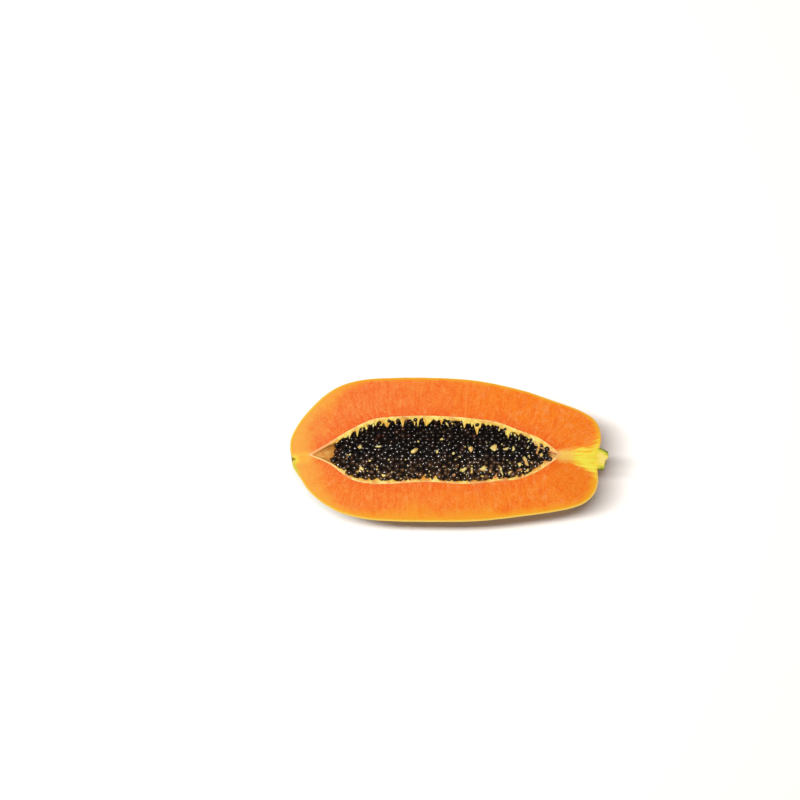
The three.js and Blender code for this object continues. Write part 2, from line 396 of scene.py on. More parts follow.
# %% Store the measures
STEM_SIDE, BLOSSOM_SIDE = (124.0, -8.4), (-129.4, -8.4)
FAN_FROM, TIP_MIDDLE, TIP_SIZE = 72, (97.0, -5.4), (9.5, 6.0)
SEAM_HALF_WIDTH = 4.4
face_points = np.array([(v.co.x / MM, v.co.y / MM) for v in flesh.data.vertices])
skin_line = line_of(skin_place)
hollow_line = line_of(wall_place)
under_skin, round_skin, _ = distance_to_line(face_points, skin_line)
from_hollow, _, nearest = distance_to_line(face_points, hollow_line)
skin_beside_hollow = distance_to_line(hollow_line, skin_line)[1][nearest]
across = from_hollow / (from_hollow + under_skin + 1e-6)
x, y = face_points.T
vein_line = np.interp(x, (HOLLOW_TO, STEM_SIDE[0]), (HOLLOW_AXIS_Y, STEM_SIDE[1]))
vein_width = np.interp(x, (86, 92, 97, 102, 110, 120, 127), (2, 4, 6, 8, 13, 19, 27))
seam_line = np.interp(x, (BLOSSOM_SIDE[0], HOLLOW_FROM), (-6.9, -6.3))
store(flesh, "under_skin", under_skin)
store(flesh, "from_hollow", from_hollow)
store(flesh, "around", eased(flesh, round_skin * across + skin_beside_hollow * (1 - across), 60))
store(flesh, "veins", np.clip(1 - np.abs(y - vein_line) / vein_width, 0, 1))
store(flesh, "fan", np.arctan2(y - HOLLOW_AXIS_Y, x - FAN_FROM) * 30)
seam_end = np.clip((HOLLOW_FROM + 5 - x) / 6, 0, 1)
store(flesh, "seam", np.clip(1.6 - np.abs(y - seam_line) / SEAM_HALF_WIDTH, 0, 1) * seam_end)
store(flesh, "from_tip", np.hypot((x - TIP_MIDDLE[0]) / TIP_SIZE[0], (y - TIP_MIDDLE[1]) / TIP_SIZE[1]))
store(flesh, "from_pit", np.hypot(x - BLOSSOM_SIDE[0], y - BLOSSOM_SIDE[1]))
print("thickest flesh:", round(max(under_skin[from_hollow < 0.5]), 1), "mm")

# %% [markdown]
# ## A knife's waviness
# A blade never leaves a perfect plane in soft fruit: it drags a little where fibres run. The face gets
# waves of about a tenth of a millimetre, along the lines that run from the hollow to the skin. They fade at
# both edges, where neighbours meet.

# %% Shape the cut face
WAVE_DEPTH = 0.14


def cut_wave(index):
    fade = smooth_step(0.5, 4, under_skin[index]) * smooth_step(0.3, 3, from_hollow[index])
    line, depth = round_skin[index], under_skin[index]
    narrow = noise.noise(Vector((line / 2.6, depth / 16, 3)))
    wide = noise.noise(Vector((line / 14, depth / 9, 8)))
    return WAVE_DEPTH * fade * (narrow + 0.8 * wide)


def in_cut(vertex):
    return abs(vertex.co.z - CUT_HEIGHT * MM) < 1e-5


for vertex in filter(in_cut, flesh.data.vertices):
    vertex.co.z = (CUT_HEIGHT + cut_wave(vertex.index)) * MM
face_outwards(flesh, 40)
report(flesh)

# %% [markdown]
# ## The lining and its teeth
# The hollow of a papaya is lined with a pale, moist layer. The seeds grew out of it on short strings, and
# where seeds have come away, ragged teeth of it stand between them. The lining is a lens inside a lens,
# joined at the rim. Its inner side reads a list of teeth, placed by a seeded rule, so that every run gives
# the same fruit.

# %% Model the lining
LINING_THICKNESS, LINING_ROOTED = 1.9, 0.12
LINING_RINGS, LINING_SPOKES = 420, 72
FAR_LIP, NEAR_LIP = 1.8, 1.1
FAR_TIP, NEAR_TIP, TIP_X, TIP_LENGTH = 1.5, 7.0, 86, 7
TEETH_FROM, TEETH_TO = -106.0, 84
TEETH_GROW, TEETH_FADE = (-101, -94), (78, 90)


def seeded_draws(seed):
    """A function that gives numbers from 0 to 1, the same ones on every run."""
    state = seed & 0xFFFFFFFF

    def draw():
        nonlocal state
        state = (state * 1664525 + 1013904223) & 0xFFFFFFFF
        return state / 4294967296

    return draw


def row_of_teeth(seed, spacing, deepest):
    """Each tooth: its place along the fruit, its half-width, its depth, and how far down the wall it runs."""
    draw, teeth, x = seeded_draws(seed), [], TEETH_FROM
    while x < TEETH_TO:
        x += spacing * (0.2 + 2.4 * draw() ** 2)
        tall = draw() ** 1.5
        teeth.append((x, 0.75 + 1.7 * draw() ** 2, deepest * (0.15 + 0.85 * tall), 0.12 + 0.6 * draw()))
    return teeth


# %% How far the teeth stand out
far_teeth = row_of_teeth(77, 4.0, 6.8)
near_teeth = row_of_teeth(31, 5.2, 3.0)


def tooth_depth(x, angle):
    """How far the lining stands inwards: its teeth, its ragged lip, and the tissue that fills the tip."""
    far = angle < math.pi / 2
    below, lip, tip = (angle, FAR_LIP, FAR_TIP) if far else (math.pi - angle, NEAR_LIP, NEAR_TIP)
    teeth = sum(
        depth * math.exp(-(((x - place) / width) ** 2)) * (1 - smooth_step(0.2 * run, run, below))
        for place, width, depth, run in (far_teeth if far else near_teeth)
        if abs(x - place) < 3 * width
    )
    ragged = 0.5 + 0.5 * noise.noise(Vector((x / 1.7, 9 * angle, 1)))
    lip = lip * ragged * (1 - smooth_step(0.3, 1.2, below))
    tip = tip * math.exp(-(((x - TIP_X) / TIP_LENGTH) ** 2)) * (1 - smooth_step(0.1, 0.8, below))
    ends = smooth_step(*TEETH_GROW, x) * (1 - smooth_step(*TEETH_FADE, x))
    return ends * (teeth + lip) + tip


# The share of the full thickness on either side, and the stretch where the near side has twice its own.
FAR_WALL, NEAR_WALL, THICKENS, THINS = 0.95, 0.55, (-96, -86), (-58, -40)


def inner_wall(along, angle):
    """The near side is thin, but thicker over a stretch towards the blossom end."""
    place = HOLLOW_FROM + along * (HOLLOW_TO - HOLLOW_FROM)
    near = NEAR_WALL + NEAR_WALL * smooth_step(*THICKENS, place) * (1 - smooth_step(*THINS, place))
    x, radius = wall_at(along, angle, (FAR_WALL if angle < math.pi / 2 else near) * LINING_THICKNESS)
    half_width = wall_at(along, angle, 0)[1]
    inwards = min(tooth_depth(x, angle), 0.6 * half_width)
    return round_axis(x, HOLLOW_AXIS_Y, max(radius - inwards, 0.02), angle)


# %% Mould the lining
lining = half_ball("hollow_lining", LINING_RINGS, LINING_SPOKES)
move_vertices(lining, lambda co: wall_place(*along_and_angle(co), -LINING_ROOTED) * MM)
inner = half_ball("inner", LINING_RINGS, LINING_SPOKES)
move_vertices(inner, lambda co: inner_wall(*along_and_angle(co)) * MM)
lined_with(lining, inner, 3)
lining_points = np.array([(v.co.x / MM, v.co.y / MM) for v in lining.data.vertices])
into_lining = distance_to_line(lining_points, line_of(wall_place, 400))[0]
for vertex in filter(in_cut, lining.data.vertices):
    inside = into_lining[vertex.index]
    ragged = noise.noise(vertex.co / (1.6 * MM)) + 0.6 * noise.noise(vertex.co / (0.7 * MM))
    sunk = 0.25 * max(inside - 1.2, 0)
    vertex.co.z -= (0.12 * ragged * min(inside, 1) + sunk) * MM - 0.08 * MM
face_outwards(lining, 60)
report(lining)

# %% [markdown]
# ## Where the seeds lie
# The seeds fill the hollow like gravel: level with the cut on the near side, sunken under the far side, and
# climbing a little up the far wall. They start on a loosened lattice and push each other apart, which packs
# them closely without rows. The rule is seeded, and it is the one that placed the seeds of the solid, so
# the fine seeds lie exactly where the solid's are.

# %% How high the seeds lie
SEED_DIAMETER, SEED_SPACING = 5.4, 5.8
SEEDS_FROM, SEEDS_TO = -99, 87
BED_HOLLOW, FRONT_DROP, FULL_WIDTH = 9, 6, 52


def across_hollow(x, y):
    """The lining's near and far edge at x, and how far across it y lies, from 0 to 1."""
    along = (x - HOLLOW_FROM) / (HOLLOW_TO - HOLLOW_FROM)
    near = HOLLOW_AXIS_Y - wall_at(along, math.pi, LINING_THICKNESS)[1]
    far = HOLLOW_AXIS_Y + wall_at(along, 0, LINING_THICKNESS)[1]
    return near, far, (y - near) / (far - near)


def bed_height(x, y):
    """How high the top seeds lie."""
    near, far, share = across_hollow(x, y)
    width = (far - near) / FULL_WIDTH
    trough = BED_HOLLOW * width * max(0, min(1, share)) ** 1.7
    wall_rise = 0.55 * BED_HOLLOW * width * smooth_step(0.84, 1, share)
    front = FRONT_DROP * (1 - smooth_step(SEEDS_FROM, SEEDS_FROM + 12, x))
    return CUT_HEIGHT - 1.2 - trough + wall_rise - front


def held(x, margin):
    """The near and far limits at x, drawn in by a margin."""
    near, far, _ = across_hollow(x, 0)
    return near + margin, far - margin


# %% Place the seeds
ROW_REACH, SEED_JITTER, PUSH_ROUNDS = 40, 0.8, 14
RANDOM_SEED = 20240611


def seed_places():
    """A loosened lattice of seeds that then push each other apart."""
    draw = seeded_draws(RANDOM_SEED)
    row_pitch = SEED_SPACING * math.sqrt(3) / 2
    margin = 0.5 * SEED_DIAMETER
    seeds, row = [], 0
    while SEEDS_FROM + row * row_pitch <= SEEDS_TO:
        x = SEEDS_FROM + row * row_pitch
        y = -ROW_REACH + (row % 2) * 0.5 * SEED_SPACING
        low, high = held(x, margin)
        while y < ROW_REACH:
            place = [
                x + (draw() - 0.5) * SEED_JITTER * SEED_SPACING,
                y + (draw() - 0.5) * SEED_JITTER * SEED_SPACING,
            ]
            lift, size = draw(), 0.88 + 0.22 * draw()
            turn = [draw(), draw(), draw()]
            if low - 0.3 * SEED_SPACING < y < high + 0.3 * SEED_SPACING:
                seeds.append(place + [lift, size, turn])
            y += SEED_SPACING
        row += 1
    for _ in range(PUSH_ROUNDS):
        for i, one in enumerate(seeds):
            for other in seeds[i + 1:]:
                dx, dy = other[0] - one[0], other[1] - one[1]
                apart = math.hypot(dx, dy)
                if 1e-6 <= apart < SEED_SPACING:
                    push = 0.5 * (SEED_SPACING - apart) / apart
                    one[0] -= push * dx
                    one[1] -= push * dy
                    other[0] += push * dx
                    other[1] += push * dy
        for seed in seeds:
            seed[0] = max(SEEDS_FROM, min(SEEDS_TO, seed[0]))
            low, high = held(seed[0], margin)
            seed[1] = max(low, min(high, seed[1])) if low < high else (low + high) / 2
    return seeds


seed_list = seed_places()
print(len(seed_list), "seeds, as in the solid")

# %% [markdown]
# ## One seed, stamped many times
# A papaya seed is a wrinkled black bead in a wet, clear skin. It is modelled once, from a sphere of 80
# faces that gets a blunt tip and a few dents. Hundreds of separate objects would be slow and clumsy, so
# its points are stamped into one mesh, each time turned, sized and toned by the rule. More seeds fill the
# gaps between the first ones, a little deeper.

# %% Model one seed
select_only()
bpy.ops.mesh.primitive_ico_sphere_add(subdivisions=2, radius=0.5)
pattern_seed = named("pattern_seed")
edit(pattern_seed)
bpy.ops.transform.resize(value=(1.1, 0.93, 0.93), center_override=(0, 0, 0))
done()
for vertex in pattern_seed.data.vertices:
    dent = noise.noise(vertex.co * 5.5 + Vector((2, 0, 7)))
    tip = 0.05 * max(vertex.co.x, 0) / 0.55
    vertex.co *= 1 + 0.06 * dent
    vertex.co.x += tip
seed_points = np.array([v.co for v in pattern_seed.data.vertices])
seed_faces = np.array([list(p.vertices) for p in pattern_seed.data.polygons])
bpy.data.objects.remove(pattern_seed)
print(len(seed_faces), "faces a seed")

# %% Find places for the seeds between
FILL_STEP, FILL_CLEAR, FILL_APART, FILL_REACH = 1.5, 2.75, 3.5, 32.0


def fill_places():
    """Places in the gaps between the first seeds, and along both walls."""
    draw = seeded_draws(4099)
    taken = np.array([(s[0], s[1]) for s in seed_list])
    fills = []
    x = SEEDS_FROM - 1
    while x < SEEDS_TO + 3:
        y = -FILL_REACH
        while y < FILL_REACH:
            px, py = x + (draw() - 0.5) * FILL_STEP, y + (draw() - 0.5) * FILL_STEP
            lift, size, turn = draw(), draw(), [draw(), draw(), draw()]
            low, high = held(px, 0.4 * SEED_DIAMETER)
            clear = np.min(np.hypot(taken[:, 0] - px, taken[:, 1] - py)) > FILL_CLEAR
            if low < py < high and clear and all(math.dist(f[:2], (px, py)) > FILL_APART for f in fills):
                fills.append([px, py, lift, 0.8 + 0.2 * size, turn])
            y += FILL_STEP
        x += FILL_STEP
    return fills


# %% Stamp a mesh of seeds


def stamp(name, places):
    """One mesh with a seed at each place: x, y, z, diameter, turn and tone."""
    points, faces, tones = [], [], []
    for count, (x, y, z, diameter, turn, tone) in enumerate(places):
        matrix = np.array(Euler([2 * math.pi * t for t in turn], "XYZ").to_matrix())
        points.append((seed_points * diameter) @ matrix.T + (x, y, z))
        faces.append(seed_faces + count * len(seed_points))
        tones += [tone] * len(seed_points)
    mesh = bpy.data.meshes.new(name)
    mesh.from_pydata((np.concatenate(points) * MM).tolist(), [], np.concatenate(faces).tolist())
    piece = bpy.data.objects.new(name, mesh)
    bpy.context.scene.collection.objects.link(piece)
    store(piece, "tone", tones)
    select_only(piece)
    bpy.ops.object.shade_smooth()
    return piece


# %% Find places for the seeds along the rims
SEEN_FROM, SEEN_TO = -98.6, 85.2
COVERED_CORNER, EMPTY_CORNER = (77, -9), (-94.5, -5)


def clear_of_ends(seed):
    """Torn tissue covers the last seeds at the stem's end, and at the other end a few fell out."""
    x, y = seed[:2]
    covered = x > COVERED_CORNER[0] and y < COVERED_CORNER[1]
    fallen_out = x < EMPTY_CORNER[0] and y > EMPTY_CORNER[1]
    return SEEN_FROM < x < SEEN_TO and not covered and not fallen_out


def rim_places(seed, x, until, step, far):
    """A few seeds hang high on a wall, between the teeth."""
    draw, places = seeded_draws(seed), []
    while x < until:
        low, high = held(x, 0.12 * SEED_DIAMETER)
        y = high + 0.6 - 3.0 * draw() if far else low - 0.9 + 1.5 * draw()
        places.append([x, y, 2.2 + 2.2 * draw(), 0.7 + 0.22 * draw(), [draw(), draw(), draw()]])
        x += step * (0.4 + 1.3 * draw())
    return places


# Single seeds in the same terms as the rule's: along, across, how deep under the cut, size and turn.
TIP_SEEDS = [[84.9, -8.0, 1.3, 0.94, [0.1, 0.3, 0.7]], [82.4, 0.4, 1.5, 1.0, [0.6, 0.2, 0.4]]]

# Seeds bedded in the far lip itself: how far along, how far inside the lip, and their size.
IN_THE_LIP = [
    (-85.8, 0.4, 0.4), (-67.2, 2.0, 0.72), (-60.8, 0.6, 0.36), (-58.2, 1.6, 0.8), (-50.5, 0.9, 0.82),
    (-42.8, 1.1, 0.84), (-28.3, 1.0, 0.84), (-22.5, 0.5, 0.66), (-3.5, 0.8, 0.7), (24.0, 2.6, 0.74),
    (47.5, 0.7, 0.7), (60.5, 1.2, 0.72), (69.0, 2.0, 0.7),
]
# Each rim: the seed of its draws, its row's start and end, the spacing, and whether it is the far one.
FAR_RIM, NEAR_RIM = (2718, -88, 76, 6.2, True), (1618, -86, 66, 3.8, False)
rim_list = rim_places(*FAR_RIM) + rim_places(*NEAR_RIM) + TIP_SEEDS
rim_list += [
    [x, held(x, inside)[1], 1.7, size, [0.37 * index % 1, 0.61 * index % 1, 0.23 * index % 1]]
    for index, (x, inside, size) in enumerate(IN_THE_LIP)
]

# %% Stamp the seeds
fill_list = [seed for seed in fill_places() if clear_of_ends(seed)]
tone_draw = seeded_draws(515)
stamped = [
    (x, y, bed_height(x, y) + (lift - 0.35) * 0.35 * SEED_DIAMETER, SEED_DIAMETER * size, turn, tone_draw())
    for x, y, lift, size, turn in filter(clear_of_ends, seed_list)
] + [
    (x, y, bed_height(x, y) - 0.6 - 1.4 * lift, SEED_DIAMETER * size, turn, tone_draw())
    for x, y, lift, size, turn in fill_list
] + [
    (x, y, CUT_HEIGHT - sunk, SEED_DIAMETER * size, turn, 0.9 + 0.1 * tone_draw())
    for x, y, sunk, size, turn in rim_list
]
seeds = stamp("black_seeds", stamped)
report(seeds)

# %% [markdown]
# ## The dark bed under the seeds
# Between the top seeds one sees only more seeds, and darkness. A closed mound just below the top layer
# stands for all that lie deeper; its near-black paint is their black together with painted shade in the gaps.
# It is a whole ball: its lower half follows the lining, its upper half the bed.

# %% Model the bed
BED_GAP, BED_SUNK = 0.5, 1.3


def bed_place(co):
    along, angle = along_and_angle(co)
    x, radius = wall_at(along, abs(angle), LINING_THICKNESS + BED_GAP)
    x = max(SEEDS_FROM + 4, min(SEEDS_TO - 3, x))
    radius = max(radius, 0.01)
    place = round_axis(x, HOLLOW_AXIS_Y, radius, angle)
    top = bed_height(x, place.y) - BED_SUNK
    place.z = top if angle < 0 else min(place.z, top)
    return place * MM


bed = half_ball("seed_bed", 60, 40, whole=True)
move_vertices(bed, bed_place)
face_outwards(bed, 60)
report(bed)

# %% [markdown]
# ## Pale seeds, pulp and strings
# Among the black seeds lie a few that never ripened, and torn bits of the lining. Each is a small lump, so
# a ball is pinched, bent and roughened by noise. At the stem's end of the hollow, torn strings run from the
# lining to the last seeds: each is a thin tapered strand with a bow in it.

# %% Model the pale bits
# Each: place along and across, length, width and direction in degrees.
PALE_BITS = [
    (-74.6, 2.6, 4.2, 3.0, 60), (-84.5, -5.2, 3.6, 2.4, 20), (-74.0, -17.0, 6.5, 3.4, 48),
    (-54.6, -21.2, 4.6, 2.8, 70), (-28.6, -0.9, 5.4, 3.0, 40), (-41.7, -24.6, 5.0, 1.8, 8),
    (-59.1, 2.6, 4.2, 1.4, 5), (18.6, 0.2, 4.6, 3.2, 80), (38.1, 1.3, 5.4, 4.0, 55),
    (48.2, 0.6, 4.8, 1.8, 15), (54.3, 0.5, 3.6, 2.0, 75), (12.3, -16.9, 5.4, 3.0, 25),
    (19.9, -17.6, 5.0, 3.2, 82), (29.0, -16.3, 5.8, 3.6, 20), (42.6, -16.4, 5.4, 3.2, 88),
    (43.7, -21.6, 6.0, 3.2, 75), (51.7, -18.8, 5.6, 2.4, 60), (59.0, -13.1, 4.6, 3.0, 30),
    (64.6, -9.6, 9.0, 3.0, 115), (77.1, -5.4, 5.2, 2.8, 50), (-5.8, 8.9, 2.6, 1.8, 30),
    (-9.9, -1.9, 2.6, 1.8, 70), (3.9, -3.3, 2.8, 1.8, 10), (-66.3, -9.4, 2.4, 1.6, 25),
    (30.0, -22.4, 5.0, 1.8, 4), (65.5, -17.6, 5.0, 2.2, 22),
    (88.2, -5.2, 4.2, 2.4, 150),
]


def lump(index, x, y, long, wide, heading):
    """A ball that is roughened, bent and stretched along its heading."""
    select_only()
    bpy.ops.mesh.primitive_ico_sphere_add(subdivisions=3, radius=0.5)
    piece = named(f"pale_bit_{index}")
    turn = math.radians(heading)
    z = min(bed_height(x, y) + 2.1, CUT_HEIGHT - 0.5)
    for vertex in piece.data.vertices:
        co = vertex.co.copy()
        coarse = noise.noise(co * 3.1 + Vector((index, 2, 5)))
        fine = noise.noise(co * 8 + Vector((index, 0, 1)))
        co *= 1 + 0.7 * coarse + 0.4 * fine
        co.y += 0.5 * (co.x * co.x - 0.1)
        along, side = co.x * long, co.y * wide
        vertex.co = Vector((
            x + along * math.cos(turn) - side * math.sin(turn),
            y + along * math.sin(turn) + side * math.cos(turn),
            z + co.z * 0.8 * wide,
        )) * MM
    return piece


# %% Add crumbs, shreds and specks
# Crumbs of reddish pulp, in the same terms.
PULP_CRUMBS = [
    (39.6, -22.2, 5.6, 2.2, 40), (51.8, -18.0, 4.4, 2.4, 75), (34.6, -18.2, 3.6, 1.6, 120),
    (73.0, 5.4, 5.0, 2.4, 110), (74.4, -1.4, 4.6, 1.8, 80), (-84.6, -6.2, 3.8, 2.8, 60),
    (-26.0, -20.6, 4.4, 1.8, 30), (-12.6, -22.0, 3.4, 1.6, 5), (68.8, 7.8, 4.4, 1.6, 140),
    (-36.4, -22.6, 3.6, 1.5, 15), (59.4, -17.2, 3.8, 1.6, 20), (4.6, -21.4, 3.0, 1.5, 60),
]

# Shreds of the lining that hang between the seeds along the far wall.
SHREDS_FROM, SHREDS_TO = -84.0, 74
shred_draw, shreds, x = seeded_draws(733), [], SHREDS_FROM
while x < SHREDS_TO:
    y = held(x, 0.8 + 3.2 * shred_draw())[1]
    shreds.append((x, y, 2.2 + 3.0 * shred_draw(), 1.0 + 0.8 * shred_draw(), 55 + 70 * shred_draw()))
    x += 3.0 + 9.0 * shred_draw()

bits = [lump(index, *bit) for index, bit in enumerate(PALE_BITS + shreds)]
crumbs = [lump(80 + index, *crumb) for index, crumb in enumerate(PULP_CRUMBS)]

# Pale specks on the seeds, most of them on the near side: partly crumbs of the lining, partly painted glints
# of wet seeds.
SPECK_COUNT, SPECKS_FROM, SPECKS_LONG, SPECKS_FAR, SPECKS_WIDE = 46, SEEDS_FROM + 12, 168, 12, 34
speck_draw, pale_specks_and_glints = seeded_draws(3301), []
while len(pale_specks_and_glints) < SPECK_COUNT:
    x, y = SPECKS_FROM + SPECKS_LONG * speck_draw(), SPECKS_FAR - SPECKS_WIDE * math.sqrt(speck_draw())
    across_to_near, across_to_far = held(x, 2.0)
    size = 0.9 + 1.2 * speck_draw() ** 2
    turn = [speck_draw(), speck_draw(), speck_draw()]
    if across_to_near < y < across_to_far:
        pale_specks_and_glints.append((x, y, bed_height(x, y) + 1.9, size, turn, 0.5))
bits.append(stamp("pale_specks_and_glints", pale_specks_and_glints))
select_only(*bits)
bpy.ops.object.join()
pale_bits = named("pale_bits")
bpy.ops.object.shade_smooth()
report(pale_bits)

# %% Split only some edges or faces


def split_where(piece, kind, chosen, cuts):
    """Subdivides only the edges or the faces that a test chooses."""
    edit(piece)
    bpy.ops.mesh.select_all(action="DESELECT")
    bpy.ops.mesh.select_mode(type=kind)
    done()
    for part in piece.data.edges if kind == "EDGE" else piece.data.polygons:
        part.select = chosen(part)
    bpy.ops.object.mode_set(mode="EDIT")
    bpy.ops.mesh.subdivide(number_cuts=cuts)
    done()


def split_along(piece, axis, cuts):
    """Gives a cylinder more rings: it splits the edges that run along its axis."""
    points = piece.data.vertices

    def runs_along(edge):
        a, b = edge.vertices
        return abs(points[a].co[axis] - points[b].co[axis]) > 0.5

    split_where(piece, "EDGE", runs_along, cuts)


# %% Model the strings at the stem's end
# Each: where it starts and ends along and across, its thickness, and how far it bows sideways.
STRINGS = [
    (92.5, -4.0, 76.0, 3.6, 1.3, 1.2), (91.0, -5.2, 79.5, -3.0, 1.1, -0.8),
    (93.5, -5.0, 82.0, -9.6, 1.5, 1.0), (90.5, -6.6, 74.0, -13.2, 1.2, -1.0),
    (89.0, -3.0, 68.0, 8.2, 1.1, 1.6), (88.0, -8.2, 66.0, -16.4, 1.3, 0.8),
    (84.0, 2.4, 72.5, 9.6, 0.9, -1.0), (93.0, -4.4, 85.0, 0.4, 1.4, 0.4),
]
STRING_STEPS = 14


def strand(index, x0, y0, x1, y1, thick, bow):
    """A tube that is moulded from a cylinder: each of its rings goes to its place on the bowed line."""
    select_only()
    bpy.ops.mesh.primitive_cylinder_add(vertices=8, radius=1, depth=1, end_fill_type="TRIFAN")
    piece = named(f"string_{index}")
    split_along(piece, 2, STRING_STEPS)
    length = math.hypot(x1 - x0, y1 - y0)
    side = Vector((y0 - y1, x1 - x0)) / length
    for vertex in piece.data.vertices:
        t = vertex.co.z + 0.5
        wobble = noise.noise(Vector((index, 6 * t, 0))) * 0.9
        sideways = bow * math.sin(math.pi * t) + wobble
        radius = 0.5 * thick * (1.15 - 0.75 * t) * (0.8 + 0.5 * noise.noise(Vector((index, 5 * t, 4))))
        if vertex.co.xy.length < 0.5:
            radius *= 0.1
        x = x0 + (x1 - x0) * t + side.x * (sideways + vertex.co.x * radius)
        y = y0 + (y1 - y0) * t + side.y * (sideways + vertex.co.x * radius)
        z = CUT_HEIGHT - 1.0 + 2.2 * math.sin(math.pi * t) * (1 - t) - 1.6 * t + vertex.co.y * radius * 0.7
        vertex.co = Vector((x, y, z)) * MM
    return piece


strands = [strand(index, *row) for index, row in enumerate(STRINGS)]
select_only(*strands, *crumbs)
bpy.ops.object.join()
strings = named("torn_strings")
bpy.ops.object.shade_smooth()
face_outwards(strings, 60)
report(strings)

# %% [markdown]
# ## The stump of the stem
# The fruit hung from a thick, juicy stalk. Its stump was cut lengthwise with the fruit, so it shows a pale,
# fibrous inside with a green rind at both corners, and its broken end is ragged and slanting. A cylinder
# that is flared, torn at its end by noise, and bisected by a slightly tilted plane makes it. The tilt lets
# the stump come out of the flesh gradually, so no straight line shows where it starts.

# %% Model the stem stub
STUB_RADIUS, STUB_ROOT_X, STUB_FAR_X, STUB_NEAR_X = 8.6, 117.0, 133.6, 129.2
STUB_RINGS, STUB_SIDES, STUB_RISE, STUB_CUT_X = 26, 72, 0.055, 122

select_only()
bpy.ops.mesh.primitive_cylinder_add(
    vertices=STUB_SIDES, radius=1, depth=1, end_fill_type="TRIFAN", rotation=(0, math.pi / 2, 0)
)
stub = named("stem_stub")
bpy.ops.object.transform_apply(location=False, rotation=True, scale=False)
split_along(stub, 0, STUB_RINGS)
split_where(stub, "FACE", lambda face: face.normal.x > 0.9, 5)


def stub_radius(t, angle):
    """Radius at a share of the stub's length: fluted, waisted, and torn away on the far side of its end."""
    ragged = 1 + 0.07 * math.sin(3 * angle + 0.6) + 0.05 * math.sin(5 * angle)
    fluted = 0.035 * noise.noise(Vector((5 * math.cos(angle), 5 * math.sin(angle), 0.6 * t)))
    waist = 1 - 0.1 * math.sin(math.pi * t) + 0.09 * t
    torn_side = 1 + far_share(angle) ** 2 * (0.08 - 0.44 * smooth_step(0.6, 1.05, t))
    return STUB_RADIUS * (ragged + fluted) * waist * torn_side * (1 - 0.1 * max(0, t - 0.96) / 0.04)


def stub_place(co):
    t = co.x + 0.5
    angle = math.atan2(-co.z, co.y)
    out = math.hypot(co.y, co.z)
    rim_point = Vector((math.cos(angle), math.sin(angle), 7))
    torn = (2.2 * noise.noise(2.6 * rim_point) + 1.2 * noise.noise(7 * rim_point)) * t**6
    end = STUB_NEAR_X + 1.0 + (STUB_FAR_X - STUB_NEAR_X - 1.4) * far_share(angle)
    x = STUB_ROOT_X + (end - STUB_ROOT_X) * t + torn
    radius = stub_radius(t, angle) * out
    if out < 0.98:
        x += ((0.6 - torn) * (1 - out**3) + 0.9 * noise.noise(Vector((9 * co.y, 9 * co.z, 3)))) * t**6
    return round_axis(x, AXIS_Y, radius, angle) * MM


move_vertices(stub, stub_place)

# %% Cut the stem stub level


def slice_off(piece, point, normal):
    """Takes away what lies beyond a plane, and closes the cut with triangles."""
    edit(piece)
    bpy.ops.mesh.bisect(plane_co=point, plane_no=normal, clear_outer=True, use_fill=True)
    bpy.ops.mesh.quads_convert_to_tris(quad_method="BEAUTY", ngon_method="BEAUTY")
    done()


slice_off(stub, (STUB_CUT_X * MM, 0, CUT_HEIGHT * MM), (-STUB_RISE, 0, 1))


def sliced(face):
    return face.normal.z > 0.99 and face.center.z > (CUT_HEIGHT - 0.6) * MM


split_where(stub, "FACE", sliced, 4)
for vertex in stub.data.vertices:
    if vertex.co.z > (CUT_HEIGHT - 0.4) * MM:
        streaked = Vector((vertex.co.x / (6 * MM), vertex.co.y / (1.3 * MM), 2))
        vertex.co.z += 0.3 * MM * noise.noise(streaked)


def under_rind(co):
    """How far a point of the stub lies inside its rind, in millimetres."""
    x, across, down = co.x / MM, co.y / MM - AXIS_Y, CUT_HEIGHT - co.z / MM
    t = min((x - STUB_ROOT_X) / (STUB_FAR_X - STUB_ROOT_X), 1)
    return max(stub_radius(t, math.atan2(down, across)) - math.hypot(across, down), 0)


store(stub, "under_rind", [under_rind(v.co) for v in stub.data.vertices])
face_outwards(stub, 45)
report(stub)

# %% [markdown]
# ## The scar of the blossom
# At the other end the flower fell off and left a small pit with a dry, green-yellow star in it. A flat ball
# with five blunt lobes, tucked into the pit and cut level with the face, is enough.

# %% Model the blossom scar
SCAR_X, SCAR_LONG, SCAR_WIDE, SCAR_DEEP, SCAR_PROUD = -130.3, 1.6, 1.2, 2.3, 0.12

select_only()
bpy.ops.mesh.primitive_uv_sphere_add(segments=60, ring_count=24, radius=1)
scar = named("blossom_scar")


def scar_place(co):
    angle = math.atan2(co.z, co.y)
    lobes = 1 + 0.16 * math.cos(5 * angle) * math.hypot(co.y, co.z)
    rough = 1 + 0.12 * noise.noise(co * 4)
    return Vector((
        SCAR_X + SCAR_LONG * co.x * rough,
        AXIS_Y + 0.1 + (SCAR_WIDE - 0.5 * co.x) * co.y * lobes * rough,
        CUT_HEIGHT + SCAR_DEEP * co.z * lobes * rough,
    )) * MM


move_vertices(scar, scar_place)
slice_off(scar, (0, 0, (CUT_HEIGHT + SCAR_PROUD) * MM), (0, 0, 1))
face_outwards(scar, 45)
report(scar)

# %% [markdown]
# ## Tools for finishes
# A finish is a small network of nodes. Writing each link by hand hides what it does, so a few helpers make
# the steps that come back: a noise, a stretch of its range, a product, a blend of two paints. A socket
# knows which network it belongs to, so a helper that is given one adds its node beside it.
#
# Paints are written as the screen shows them, from 0 to 255. The light on the table is brighter than 1, so
# that the table turns out white, and `paint` makes up for it while it turns the numbers into the linear
# light that Blender mixes.

# %% Paints and nodes
LIGHT_LEVEL, SHEEN = 1.26, 0.02


def paint(red, green, blue):
    """The paint that looks like this on the screen, when it faces the light and has a slight sheen."""
    linear = (c / 255 / 12.92 if c <= 10 else ((c / 255 + 0.055) / 1.055) ** 2.4 for c in (red, green, blue))
    return (*(max((c - SHEEN) / LIGHT_LEVEL, 0.001) for c in linear), 1.0)


